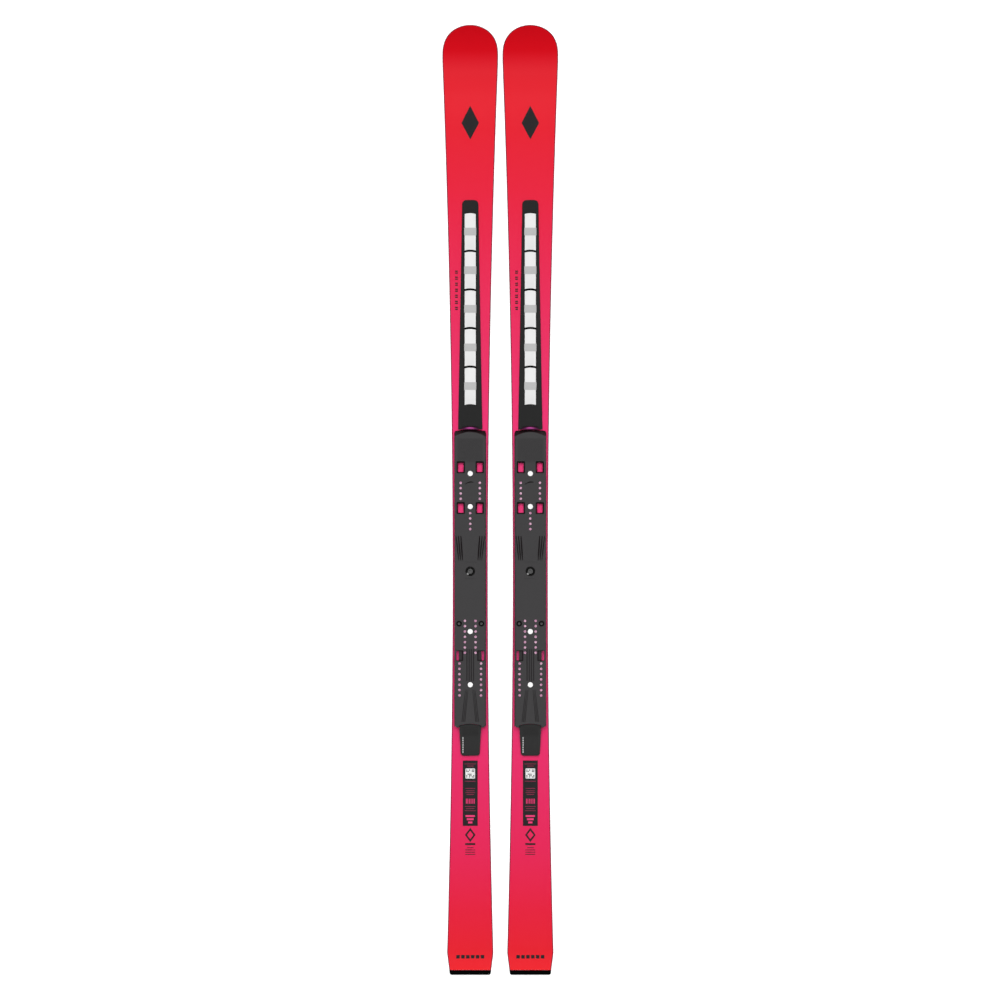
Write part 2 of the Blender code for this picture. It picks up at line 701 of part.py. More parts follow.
def add_groove(bm, x_front, x_rear):
    """A slanted groove in the plate's top face."""
    y_front, y_rear = GROOVE_Y
    length = math.hypot(y_front - y_rear, x_front - x_rear)
    angle = math.atan2(x_rear - x_front, y_front - y_rear)
    centre = Vector(((x_front + x_rear) / 2, (y_front + y_rear) / 2, PLATE_TOP_Z))
    size = Matrix.Diagonal((GROOVE_W, length, 2 * GROOVE_DEPTH, 1))
    turn = Matrix.Rotation(angle, 4, "Z")
    bmesh.ops.create_cube(bm, size=1, matrix=Matrix.Translation(centre) @ turn @ size)


def tongue_notch():
    """The arched notch in the plate's rear edge that takes the front of the tongue."""
    bm = bmesh.new()
    parts = (-1, -0.6, -0.2, 0.2, 0.6, 1)
    low = PLATE_TOP_Z - PLATE_REACH
    high = PLATE_TOP_Z + CUT_MARGIN
    behind = PLATE_REAR_Y - CUT_MARGIN
    front = [(NOTCH_HALF_W * p, NOTCH_FRONT_Y - NOTCH_ARCH * p ** 2) for p in parts]
    outline = front + [(NOTCH_HALF_W, behind), (-NOTCH_HALF_W, behind)]
    face = bm.faces.new([bm.verts.new((x, y, low)) for x, y in outline])
    wall = bmesh.ops.extrude_face_region(bm, geom=[face])
    raised = [v for v in wall["geom"] if isinstance(v, bmesh.types.BMVert)]
    bmesh.ops.translate(bm, verts=raised, vec=(0, 0, high - low))
    return bm


def plate_tongue(collection):
    """The tail piece behind the plate: arched in front, sloping down to the rear."""
    rings = []
    for part in (-1, -0.92, -0.6, -0.2, 0.2, 0.6, 0.92, 1):
        front_x = TONGUE_FRONT_HALF_W * part
        rear_x = TONGUE_REAR_HALF_W * part
        front = NOTCH_FRONT_Y - GAP - NOTCH_ARCH * (front_x / NOTCH_HALF_W) ** 2
        at_side = abs(part) == 1
        rear = TONGUE_REAR_Y + (TONGUE_CORNER if at_side else 0)
        edge = TONGUE_CHAMFER if at_side else 0
        rings.append([
            (rear_x, rear, on_top(rear, GAP)), (front_x, front, on_top(front, GAP)),
            (front_x, front, on_top(front, TONGUE_FRONT_H - edge)),
            (rear_x, rear, on_top(rear, TONGUE_REAR_H - edge))])
    return loft("plate_tongue", rings, collection)


def drill_ski(obj, cutters):
    """Pilot holes for the plate's screws, from above down to the depth of their tips."""
    bm = bmesh.new()
    for x, y, _ in screw_places():
        bottom = on_top(y, -SHANK_DEPTH - 2 * GAP)
        add_drill(bm, x, y, SHANK_R + GAP, bottom, PLATE_TOP_Z, PILOT_SIDES)
    cut(obj, bm, cutters)


# ---- fasteners -------------------------------------------------------------------------------

def plate_screw(x, y, head_r, head_top, has_socket, collection):
    """A screw with a round head, flat or with a drive socket, its tip in the wood core."""
    tip = on_top(y, -SHANK_DEPTH)
    under = head_top - HEAD_T
    socket_floor = head_top - SOCKET_DEPTH
    profile = [(0, head_top)]
    if has_socket:
        profile = [(0, socket_floor), (SOCKET_R, socket_floor), (SOCKET_R, head_top)]
    profile += [
        (head_r - RIM, head_top), (head_r, head_top - RIM), (head_r, under),
        (SHANK_R, under), (SHANK_R, tip + SHANK_R), (0, tip)]
    screw = turned("screw", profile, collection)
    screw.location = (x, y, 0)
    return screw


def cup_washer(collection):
    """The dished washer that seats the centre screw in the plate."""
    top = PLATE_TOP_Z
    bottom = top - CUP_T
    floor = bottom + CUP_FLOOR_T
    hole = SHANK_R + GAP
    inner = CUP_R - CUP_WALL
    profile = [
        (hole, floor), (inner, floor), (inner, top - RIM), (inner + RIM, top),
        (CUP_R - RIM, top), (CUP_R, top - RIM), (CUP_R, bottom), (hole, bottom), (hole, floor)]
    washer = turned("cup_washer", profile, collection)
    washer.location = (0, CENTRE_SCREW_Y, 0)
    return washer


# ---- assembly --------------------------------------------------------------------------------

def build_ski(side, centre_x, collection, cutters):
    """One ski with every piece on it, under an empty on its centre line."""
    holder = bpy.data.objects.new(side + "_ski", None)
    holder.location = (centre_x, 0, 0)
    collection.objects.link(holder)
    pieces = []

    def keep(obj, name, finish_values):
        finish(obj, side + "_" + name, finish_values)
        pieces.append(obj)
        return obj

    keep(base_sheet(collection), "base_sheet", BASE_BLACK)
    inward = 1 if centre_x < 0 else -1
    flanks = ((inward, "inner"), (-inward, "outer"))
    for sign, where in flanks:
        keep(steel_edge(sign, collection), "steel_edge_" + where, STEEL)
        keep(sidewall(sign, collection), "sidewall_" + where, BLACK_PLASTIC)
    keep(lower_metal(collection), "lower_metal_sheet", TITANAL)
    core = keep(wood_core(collection), "wood_core", ASH_WOOD)
    metal = keep(upper_metal(collection), "upper_metal_sheet", TITANAL)
    keep(tip_insert(collection), "tip_insert", BLACK_PLASTIC)
    sheet = keep(top_sheet(collection), "top_sheet", RED)
    keep(tail_protector(collection), "tail_protector", BLACK_PLASTIC)
    for drilled in (core, metal, sheet):
        drill_ski(drilled, cutters)

    keep(damper_carrier(collection), "damper_carrier", CARRIER_BLACK)
    keep(damper_elastomer(collection, cutters), "damper_elastomer", GREY_ELASTOMER)
    for index in range(BLADE_COUNT):
        keep(damper_blade(index, collection), f"damper_blade_{index + 1}", WHITE_PLASTIC)
    keep(plate_bumper(collection), "plate_bumper", VIOLET_ELASTOMER)

    keep(race_plate(collection, cutters), "race_plate", PLATE_GREY)
    keep(plate_tongue(collection), "plate_tongue", TONGUE_GREY)
    for index, y in enumerate(PLATE_SCREW_Y):
        screw = plate_screw(0, y, PLATE_SCREW_HEAD_R, PLATE_TOP_Z, False, collection)
        keep(screw, f"plate_screw_{index + 1}", WHITE_PLASTIC)
    for sign, where in flanks:
        screw = plate_screw(sign * REAR_SCREW_X, REAR_SCREW_Y, REAR_SCREW_HEAD_R,
                            PLATE_TOP_Z, True, collection)
        keep(screw, "rear_screw_" + where, BLACK_STEEL)
    centre_head_top = PLATE_TOP_Z - CUP_T + CUP_FLOOR_T + GAP + HEAD_T
    screw = plate_screw(0, CENTRE_SCREW_Y, CENTRE_SCREW_HEAD_R, centre_head_top, True, collection)
    keep(screw, "centre_screw", BLACK_STEEL)
    keep(cup_washer(collection), "cup_washer", BLACK_STEEL)

    for obj in pieces:
        obj.parent = holder
    for tool in cutters.objects:
        if tool.parent is None:
            tool.parent = holder


def main():
    clear_scene()
    collection = new_collection("racing_skis")
    cutters = new_collection("cutters")
    for side, centre_x in SIDES:
        build_ski(side, centre_x, collection, cutters)
    bpy.context.view_layer.update()


main()
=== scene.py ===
"""The looks of a pair of giant slalom race skis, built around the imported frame.

Metres, in the frame's own axes: X across the skis, +Y to the tips, Z up from the snow.
Every piece of a ski is made about that ski's centre line and then moved to it.
"""

import math

import bmesh
import bpy
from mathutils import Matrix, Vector


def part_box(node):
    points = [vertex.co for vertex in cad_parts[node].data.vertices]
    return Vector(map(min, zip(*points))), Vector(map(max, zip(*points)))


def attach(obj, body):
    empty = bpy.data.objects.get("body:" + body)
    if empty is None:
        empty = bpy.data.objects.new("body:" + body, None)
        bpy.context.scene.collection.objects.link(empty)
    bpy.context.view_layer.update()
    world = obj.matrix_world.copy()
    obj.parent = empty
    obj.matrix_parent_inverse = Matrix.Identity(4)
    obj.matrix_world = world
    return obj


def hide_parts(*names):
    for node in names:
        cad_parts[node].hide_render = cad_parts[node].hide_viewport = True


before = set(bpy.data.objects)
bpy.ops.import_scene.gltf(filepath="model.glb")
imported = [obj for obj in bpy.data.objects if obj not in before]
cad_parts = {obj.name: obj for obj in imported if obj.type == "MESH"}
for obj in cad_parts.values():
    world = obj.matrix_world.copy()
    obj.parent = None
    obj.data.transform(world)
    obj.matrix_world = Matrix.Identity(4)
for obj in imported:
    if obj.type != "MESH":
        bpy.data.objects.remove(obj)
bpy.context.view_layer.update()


# ---- places and sizes, from the frame ----

def middle(node):
    """The middle of a CAD node's box."""
    low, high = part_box(node)
    return (low + high) / 2


SIDES = {side: middle(side + "_race_plate").x for side in ("left", "right")}
TAIL_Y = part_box("left_tail_protector")[0].y
TIP_Y = -TAIL_Y
PLATE_LOW, PLATE_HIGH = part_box("left_race_plate")
PLATE_TOP = PLATE_HIGH.z
PLATE_HALF_W = (PLATE_HIGH.x - PLATE_LOW.x) / 2
CARRIER_LOW, CARRIER_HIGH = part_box("left_damper_carrier")
TONGUE_LOW, TONGUE_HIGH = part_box("left_plate_tongue")
CORE_FRONT_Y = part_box("left_wood_core")[1].y
EDGE_FRONT_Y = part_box("left_steel_edge_inner")[1].y
PROTECTOR_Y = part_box("left_tail_protector")[1].y
GAP = 0.0003
STRIP = 0.0004               # level strip that keeps a rounded edge's shading off the face

# Outline and side profile of one ski
SHOVEL_Y, WAIST_Y, TAIL_WIDE_Y = 0.8347, -0.1507, -0.852
SHOVEL_WIDTH, WAIST_WIDTH, TAIL_WIDTH, TAIL_END_WIDTH = 0.1049, 0.066, 0.0872, 0.0765
TIP_ROUNDNESS, FRONT_SIDECUT, REAR_SIDECUT, TAIL_CORNER = 2.55, 1.9, 1.83, 0.0035
SHOVEL_FULLNESS = 0.021
FRONT_CONTACT_Y, REAR_CONTACT_Y = 0.733, -0.857
CAMBER, TIP_RISE, TAIL_RISE = 0.005, 0.050, 0.006
TIP_RISE_POWER, TAIL_RISE_POWER = 2.3, 1.8
THICKEST_Y, THICKNESS_FALLOFF = -0.05, 1.5
THICKNESS_MAX, THICKNESS_TIP, THICKNESS_TAIL = 0.0168, 0.0052, 0.0066
TIP_END = 0.9985             # how far along the tip's cap the last station lies

# Laminate
BASE_T, EDGE_W, EDGE_H, CORE_H0 = 0.0013, 0.0022, 0.0021, 0.0024
TOP_SHEET_T, SIDEWALL_W, SIDEWALL_TILT, TIP_RIM = 0.0008, 0.0070, 0.0005, 0.0004


def half_width(y):
    """Half of the ski's width at y."""
    if y >= SHOVEL_Y:
        u = min(1.0, (y - SHOVEL_Y) / (TIP_Y - SHOVEL_Y))
        return SHOVEL_WIDTH / 2 * math.sqrt(1 - u ** TIP_ROUNDNESS)
    if y >= WAIST_Y:
        t = (y - WAIST_Y) / (SHOVEL_Y - WAIST_Y)
        share = min(1.0, t ** FRONT_SIDECUT + SHOVEL_FULLNESS * t ** 5)
        return (WAIST_WIDTH + (SHOVEL_WIDTH - WAIST_WIDTH) * share) / 2
    if y >= TAIL_WIDE_Y:
        t = (WAIST_Y - y) / (WAIST_Y - TAIL_WIDE_Y)
        return (WAIST_WIDTH + (TAIL_WIDTH - WAIST_WIDTH) * t ** REAR_SIDECUT) / 2
    t = (TAIL_WIDE_Y - y) / (TAIL_WIDE_Y - TAIL_Y)
    straight = (TAIL_WIDTH + (TAIL_END_WIDTH - TAIL_WIDTH) * t) / 2
    return straight - TAIL_CORNER * corner((TAIL_Y + TAIL_CORNER - y) / TAIL_CORNER)


def base_height(y):
    """Height of the running surface above the snow."""
    if y > FRONT_CONTACT_Y:
        return TIP_RISE * ((y - FRONT_CONTACT_Y) / (TIP_Y - FRONT_CONTACT_Y)) ** TIP_RISE_POWER
    if y < REAR_CONTACT_Y:
        return TAIL_RISE * ((REAR_CONTACT_Y - y) / (REAR_CONTACT_Y - TAIL_Y)) ** TAIL_RISE_POWER
    s = (y - REAR_CONTACT_Y) / (FRONT_CONTACT_Y - REAR_CONTACT_Y)
    return CAMBER * math.sin(math.pi * s) ** 2


def thickness(y):
    """Thickness of the ski, square to the base."""
    in_front = y >= THICKEST_Y
    reach = TIP_Y - THICKEST_Y if in_front else THICKEST_Y - TAIL_Y
    end = THICKNESS_TIP if in_front else THICKNESS_TAIL
    bulge = max(0.0, math.cos(math.pi / 2 * abs(y - THICKEST_Y) / reach)) ** THICKNESS_FALLOFF
    return end + (THICKNESS_MAX - end) * bulge


def lift(y, height):
    """World z of a point this high above the base, square to it."""
    step = 0.0002
    slope = (base_height(y) - base_height(y - step)) / step
    return base_height(y) + height * math.sqrt(1 + slope ** 2)


def on_top(y, height):
    """World z of a point this high above the top sheet."""
    return lift(y, thickness(y) + height)


def quarter(steps):
    """Angles that run evenly from nothing to a right angle."""
    return [math.pi / 2 * i / steps for i in range(steps + 1)]


def shares(steps):
    """Shares from -1 to 1 across a piece, closing up towards both sides."""
    return [math.sin(math.pi / 2 * (2 * i / steps - 1)) for i in range(steps + 1)]


def corner(into):
    """How far a round corner of radius 1 has drawn in, this far along it."""
    return 1 - math.sqrt(1 - min(1.0, max(0.0, into)) ** 2)


def rows(rear, front, step=0.008):
    """Stations along the ski, evenly spaced and then closing up round the tip."""
    even_end = min(front, SHOVEL_Y)
    count = max(1, round((even_end - rear) / step))
    found = [rear + (even_end - rear) * i / count for i in range(count + 1)]
    if front > SHOVEL_Y:
        reach = (TIP_Y - SHOVEL_Y) * TIP_END
        found += [SHOVEL_Y + reach * math.sin(a) for a in quarter(32)[1:]]
    return found


# ---- mesh tools ----

def mesh_object(name, bm, sharp=32):
    """Turn a bmesh into a smooth-shaded object with sharp edges kept."""
    bmesh.ops.recalc_face_normals(bm, faces=bm.faces)
    mesh = bpy.data.meshes.new(name)
    bm.to_mesh(mesh)
    bm.free()
    mesh.shade_smooth()
    mesh.set_sharp_from_angle(angle=math.radians(sharp))
    obj = bpy.data.objects.new(name, mesh)
    bpy.context.scene.collection.objects.link(obj)
    return obj


def add_loft(bm, rings, slot=0):
    """Add a closed solid through rings of equally many points."""
    loops = [[bm.verts.new(point) for point in ring] for ring in rings]
    count = len(rings[0])
    made = []
    for near, far in zip(loops, loops[1:]):
        for i in range(count):
            j = (i + 1) % count
            made.append(bm.faces.new((near[i], near[j], far[j], far[i])))
    made += [bm.faces.new(loops[0]), bm.faces.new(loops[-1])]
    for face in made:
        face.material_index = slot


def loft(name, rings, sharp=32):
    bm = bmesh.new()
    add_loft(bm, rings)
    return mesh_object(name, bm, sharp)


def both_sides(profile, half, y):
    """A ring from (inset, z) points of its right half, listed from the bottom up."""
    right = [(half - inset, y, z) for inset, z in profile]
    left = [(inset - half, y, z) for inset, z in reversed(profile)]
    return right + left


def fillet(inset, top, radius, steps=4):
    """(inset, z) points of a rounded upper edge, and of a narrow level strip beside it."""
    arc = [(inset + radius * (1 - math.cos(a)), top - radius * (1 - math.sin(a)))
           for a in quarter(steps)]
    return arc + [(inset + radius + STRIP, top)]


def add_prism(bm, outline, low, high):
    """Add an upright prism on a flat outline."""
    add_loft(bm, [[(x, y, z) for x, y in outline] for z in (low, high)])


def rounded_rect(x, y, width, length, radius):
    """Outline of a rectangle with round corners."""
    found = []
    for cx, cy, start in ((1, 1, 0), (-1, 1, 90), (-1, -1, 180), (1, -1, 270)):
        for turn in (0, 30, 60, 90):
            a = math.radians(start + turn)
            found.append((x + cx * (width / 2 - radius) + radius * math.cos(a),
                          y + cy * (length / 2 - radius) + radius * math.sin(a)))
    return found


def circle(x, y, radius, sides=24):
    """Outline of a circle."""
    angles = [2 * math.pi / sides * i for i in range(sides)]
    return [(x + radius * math.cos(a), y + radius * math.sin(a)) for a in angles]


def add_turned(bm, profile, x, y, sides=32, inner=0, closed=False):
    """Turn a profile about an upright axis; its first inner spans get the second material."""
    loops = []
    for r, z in profile:
        points = circle(x, y, r, sides) if r else [(x, y)]
        loops.append([bm.verts.new((*point, z)) for point in points])
    following = loops[1:] + (loops[:1] if closed else [])
    for k, (upper, lower) in enumerate(zip(loops, following)):
        for i in range(sides):
            j = (i + 1) % sides
            corners = (upper[i % len(upper)], upper[j % len(upper)],
                       lower[j % len(lower)], lower[i % len(lower)])
            face = bm.faces.new(list(dict.fromkeys(corners)))
            face.material_index = 1 if k < inner else 0


def cut(obj, bm, operation="DIFFERENCE"):
    """Boolean a mesh of closed shapes with an object and keep the result."""
    tool = mesh_object("cutter", bm)
    boolean = obj.modifiers.new("Cut", "BOOLEAN")
    boolean.operation = operation
    boolean.solver = "EXACT"
    boolean.object = tool
    graph = bpy.context.evaluated_depsgraph_get()
    result = bpy.data.meshes.new_from_object(obj.evaluated_get(graph))
    old = obj.data
    obj.modifiers.clear()
    obj.data = result
    bpy.data.meshes.remove(old)
    bpy.data.objects.remove(tool)
    obj.data.shade_smooth()
    obj.data.set_sharp_from_angle(angle=math.radians(32))


def coat(obj, materials):
    """Give a mesh its material slots."""
    for material in materials:
        obj.data.materials.append(material)


def dress(obj, materials, side, slot, *nodes, body="ski"):
    """Coat a piece, put it on its ski and let it ride and stand for CAD nodes."""
    coat(obj, materials)
    obj.name = side + "_" + obj.name
    obj.location.x = SIDES[side]
    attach(obj, f"{side}_{body}")
    if nodes:
        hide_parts(*[f"{side}_{node}" for node in nodes])


# ---- materials ----

STUDIO_WHITE = 1.14          # what a level, matt white face gives off under the studio's lights
EVEN = (1, 1, 1)             # noise that isn't stretched along any axis


def paint(red, green, blue, gloss=0.008):
    """The paint that shows these 0 to 255 values in the studio, where gloss adds its own light."""
    def linear(value):
        value /= 255
        return value / 12.92 if value <= 0.04045 else ((value + 0.055) / 1.055) ** 2.4
    shown = [linear(part) - gloss for part in (red, green, blue)]
    return (*[max(0.0008, part / STUDIO_WHITE) for part in shown], 1.0)


class Surface:
    """A Principled material, with short ways to add nodes to it."""

    def __init__(self, name, specular=0.4, metallic=0.0):
        self.material = bpy.data.materials.new(name)
        self.material.use_nodes = True
        self.tree = self.material.node_tree
        self.shader = self.tree.nodes["Principled BSDF"]
        self.feed({"Specular IOR Level": specular, "Metallic": metallic})
        self.place = self.node("TexCoord", {}).outputs["Object"]
        self.x, self.y, self.z = self.node("SeparateXYZ", {0: self.place}).outputs

    def feed(self, inputs, node=None):
        """Set or link inputs of a node, or of the shader itself."""
        for socket, value in inputs.items():
            target = (node or self.shader).inputs[socket]
            if isinstance(value, bpy.types.NodeSocket):
                self.tree.links.new(value, target)
            else:
                target.default_value = value

    def node(self, kind, inputs, **settings):
        node = self.tree.nodes.new("ShaderNode" + kind)
        for key, value in settings.items():
            setattr(node, key, value)
        self.feed(inputs, node)
        return node

    def math(self, operation, *values):
        return self.node("Math", dict(enumerate(values)), operation=operation).outputs[0]

    def out(self):
        """Distance from the ski's centre line."""
        return self.math("ABSOLUTE", self.x)

    def noise(self, scale, stretch=EVEN, detail=3.0):
        place = self.node("VectorMath", {0: self.place, 1: stretch}, operation="MULTIPLY")
        return self.node("TexNoise", {
            "Vector": place.outputs[0], "Scale": scale, "Detail": detail}).outputs["Fac"]

    def wander(self, low, high, scale, stretch=EVEN):
        """A value that wanders from low to high."""
        return self.node("MapRange", {
            "Value": self.noise(scale, stretch), "To Min": low, "To Max": high}).outputs[0]

    def step(self, value, start, end):
        """0 before start and 1 after end, with a smooth rise between them."""
        return self.node("MapRange", {"Value": value, "From Min": start, "From Max": end},
                         interpolation_type="SMOOTHSTEP").outputs[0]

    def band(self, rear, front, fade):
        """1 from rear to front along the ski, fading out at both ends."""
        return self.math("MULTIPLY", self.step(self.y, rear, rear + fade),
                         self.step(self.y, front, front - fade))

    def ramp(self, value, stops):
        node = self.node("ValToRGB", {0: value})
        elements = node.color_ramp.elements
        elements.remove(elements[-1])
        elements[0].position, elements[0].color = stops[0]
        for position, colour in stops[1:]:
            elements.new(position).color = colour
        return node.outputs[0]

    def mix(self, factor, a, b, blend="MIX"):
        return self.node("Mix", {0: factor, 6: a, 7: b}, data_type="RGBA",
                         blend_type=blend).outputs[2]

    def mottled(self, colour, amount, scale, stretch=EVEN):
        """A colour that wanders a little lighter and darker."""
        shade = self.wander(1 - amount, 1 + amount, scale, stretch)
        grey = self.node("CombineColor", {0: shade, 1: shade, 2: shade}).outputs[0]
        return self.mix(1.0, colour, grey, "MULTIPLY")

    def finished(self, colour, rough, relief, depth, strength):
        """The material, once its colour, wandering roughness and fine relief are wired up."""
        bump = self.node("Bump", {"Height": relief, "Distance": depth, "Strength": strength})
        self.feed({"Base Color": colour, "Roughness": self.wander(*rough),
                   "Normal": bump.outputs[0]})
        return self.material


PRINT_AND_PAINTED_TIP_LIGHT_STOPS = (              # y along the ski, colour that the print shows there; near the tip it carries painted light too
    (-0.893, (243, 46, 53)), (-0.846, (233, 40, 53)), (-0.771, (232, 40, 66)),
    (-0.658, (232, 46, 91)), (-0.508, (233, 52, 106)), (-0.400, (238, 57, 116)),
    (0.130, (238, 58, 118)), (0.282, (236, 54, 103)), (0.470, (234, 47, 82)),
    # from 0.772 to 0.806 a painted highlight band, from 0.826 to the tip the painted shade of the
    # upturned shovel
    (0.583, (234, 42, 66)), (0.695, (232, 40, 55)), (0.772, (235, 47, 58)), (0.806, (236, 50, 60)),
    (0.826, (232, 43, 54)), (0.845, (226, 34, 43)), (0.893, (219, 32, 40)))
# stretches where the print, seen down the plate's windows and slots, is lifted as painted light
SEEN_IN_WINDOWS, SEEN_IN_SLOTS = (-0.033, 0.080), (-0.308, -0.278)


def painted_light_in_openings(surface):
    """Painted light: how far the print is lifted where it only shows deep down in the plate's
    openings, against the shade there.
    """
    windows = surface.band(*SEEN_IN_WINDOWS, 0.003)
    slots = surface.band(*SEEN_IN_SLOTS, 0.003)
    share = surface.math("MULTIPLY_ADD", windows, 0.3, slots)
    return surface.math("MULTIPLY", surface.step(surface.out(), 0.0285, 0.0270), share)


def painted_shade_and_light_beside_plate(surface):
    """A painted shadow line where the print meets the plate's long sides, and the strip outside
    that, made paler as painted light against the plate's shade.
    """
    along = surface.band(PLATE_LOW.y, PLATE_HIGH.y - 0.004, 0.004)
    outside = surface.step(surface.out(), PLATE_HALF_W - 0.0010, PLATE_HALF_W - 0.0006)
    beyond = surface.step(surface.out(), PLATE_HALF_W + 0.0006, PLATE_HALF_W + 0.0009)
    strip = surface.math("MULTIPLY", along, beyond)
    line = surface.math("SUBTRACT", surface.math("MULTIPLY", along, outside), strip)
    return line, strip


def top_sheet_print():
    """Satin print, red at both ends and magenta-pink in the middle, under a thin clear film."""
    surface = Surface("top_sheet_print", 0.13)
    surface.feed({"Coat Weight": 0.03, "Coat Roughness": 0.12})
    span = TIP_Y - TAIL_Y
    along = surface.math("MULTIPLY_ADD", surface.y, 1 / span, -TAIL_Y / span)
    stops = [((y - TAIL_Y) / span, paint(*shown, 0.013)) for y, shown in PRINT_AND_PAINTED_TIP_LIGHT_STOPS]
    line, strip = painted_shade_and_light_beside_plate(surface)
    colour = surface.ramp(along, stops)
    # painted light: the print seen down the plate's openings is lifted against the shade there
    colour = surface.mix(painted_light_in_openings(surface), colour, (1.25, 2.3, 1.75, 1.0), "MULTIPLY")
    # painted light: the strip beside the plate is made paler against the plate's shade
    colour = surface.mix(strip, colour, (1.02, 1.6, 1.15, 1.0), "MULTIPLY")
    # painted shadow: a dark wine line along the plate's long sides
    colour = surface.mix(line, colour, paint(74, 20, 44))
    colour = surface.mottled(surface.mottled(colour, 0.005, 14), 0.02, 2600)
    return surface.finished(colour, (0.27, 0.30, 200), surface.noise(420, detail=2), 0.00001, 0.4)


def moulded(name, shown, roughness, diamond=None, specular=0.3, face=None):
    """Moulded plastic with a fine grain and a knurled field; with a face height given, the upper
    face keeps its plain colour and all below it gets painted shade.
    """
    surface = Surface(name, specular)
    colour = surface.mottled(paint(*shown), 0.10, 900)
    if face:
        # painted shade: below the upper face the colour goes to a dark wine, standing in for shade
        # in recesses and on sloping sides, tinted by a painted reflection of the red top sheet
        upper = surface.step(surface.z, face - 0.0018, face - 0.0002)
        colour = surface.mix(upper, paint(30, 20, 25), colour)
    relief = surface.math("MULTIPLY", surface.noise(1800, detail=2), 0.25)
    if diamond:
        knurl = diamond_knurl(surface, *diamond)
        relief = surface.math("ADD", relief, knurl)
        # painted shade in the knurl's grooves
        colour = surface.mix(surface.math("MULTIPLY", knurl, 0.5), colour, paint(18, 18, 18))
    return surface.finished(colour, (roughness - 0.06, roughness + 0.08, 320), relief, 0.00012, 0.7)


def diamond_knurl(surface, rear, front, half):
    """Shallow crossed grooves in a field that fades out at its borders."""
    pitch = 0.0032
    lines = []
    for sign in (1, -1):
        slant = surface.math("MULTIPLY_ADD", surface.x, sign / pitch,
                             surface.math("DIVIDE", surface.y, pitch * 1.7))
        lines.append(surface.math("PINGPONG", slant, 0.5))
    weave = surface.math("MINIMUM", *lines)
    groove = surface.math("SUBTRACT", 1.0, surface.step(weave, 0.02, 0.16))
    field = surface.math("MULTIPLY", surface.band(rear, front, 0.006),
                         surface.step(surface.out(), half, half - 0.004))
    return surface.math("MULTIPLY", groove, field)


def plain(name, shown, uneven, rough, relief, depth, strength, specular=0.4, metallic=0.0,
          sheen=0.0):
    """One colour, a little uneven, with wandering roughness and a fine relief."""
    surface = Surface(name, specular, metallic)
    surface.feed({"Sheen Weight": sheen})
    colour = surface.mottled(paint(*shown), *uneven)
    return surface.finished(colour, rough, surface.noise(*relief), depth, strength)


def rubber(name, shown):
    """Matt elastomer with a dusty, slightly uneven skin."""
    return plain(name, shown, (0.05, 500), (0.52, 0.70, 300), (1500, EVEN, 4), 0.00006, 0.6,
                 specular=0.25, sheen=0.08)


# where the bumper's painted highlight runs along its crown
BUMPER_CROWN_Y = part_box("left_plate_bumper")[1].y - 0.0032
PAINTED_GLINT_OFFSET = 0.0046              # how far left and back of the washer's centre the painted glint sits


def bumper_rubber():
    """Violet elastomer, with a painted highlight along its arched crown and painted shade at its
    thin ends and away from the crown.
    """
    surface = Surface("bumper_violet", 0.2)
    out = surface.out()
    # painted shade towards the bumper's thin ends
    colour = surface.ramp(surface.math("MULTIPLY", out, 50.0), [
        (0.0, paint(190, 78, 156)), (0.22, paint(168, 70, 138)), (0.42, paint(110, 44, 90)),
        (0.66, paint(72, 34, 58))])
    # painted shade away from the crown, which leaves a painted highlight along it
    arched = surface.math("MULTIPLY_ADD", surface.math("POWER", out, 2.0), 9.0, surface.y)
    away = surface.math("ABSOLUTE", surface.math("SUBTRACT", arched, BUMPER_CROWN_Y))
    colour = surface.mix(surface.step(away, 0.0002, 0.0026), colour, paint(46, 12, 38))
    return surface.finished(surface.mottled(colour, 0.06, 600), (0.42, 0.60, 300),
                            surface.noise(1500, detail=4), 0.00006, 0.6)


def ground_base():
    """Black sintered base with a fine crossed stone-ground structure and graphite flecks."""
    surface = Surface("ground_base", 0.35)
    colour = surface.mottled(paint(26, 26, 28), 0.25, 1400)
    colour = surface.mottled(colour, 0.10, 9, (3, 0.3, 1))
    cuts = []
    for sign in (1, -1):
        slant = surface.math("MULTIPLY_ADD", surface.x, sign * 420.0,
                             surface.math("MULTIPLY", surface.y, 1900.0))
        cuts.append(surface.math("SINE", slant))
    return surface.finished(colour, (0.28, 0.5, 250, (1, 0.1, 1)), surface.math("MAXIMUM", *cuts),
                            0.00002, 0.5)


def ash_wood():
    """Upright glued strips of ash, each with its own tone and grain."""
    surface = Surface("ash_wood", 0.25)
    strip = surface.math("SNAP", surface.x, 0.012)
    tone = surface.node("TexWhiteNoise", {"W": strip}, noise_dimensions="1D").outputs[0]
    grain = surface.noise(350, (1, 0.05, 1), detail=6)
    light = surface.mix(tone, paint(214, 184, 138), paint(196, 160, 112))
    colour = surface.mix(surface.step(grain, 0.45, 0.7), light, paint(150, 112, 70))
    return surface.finished(colour, (0.5, 0.7, 300, (1, 0.1, 1)), grain, 0.00008, 0.5)


def coated(name, shown, roughness, specular=0.4):
    """A smooth coated or satin-moulded finish with faint unevenness."""
    return plain(name, shown, (0.02, 700), (roughness - 0.05, roughness + 0.07, 240),
                 (1100, EVEN, 2), 0.00002, 0.4, specular)


def insert_plastic():
    """Worn lilac plastic of the insert plugs, paler in patches."""
    surface = Surface("insert_lilac", 0.3)
    pale = surface.step(surface.noise(260, detail=2), 0.42, 0.62)
    colour = surface.mix(pale, paint(196, 140, 172), paint(222, 182, 204))
    return surface.finished(colour, (0.38, 0.52, 240), surface.noise(1100, detail=2), 0.00002, 0.4)


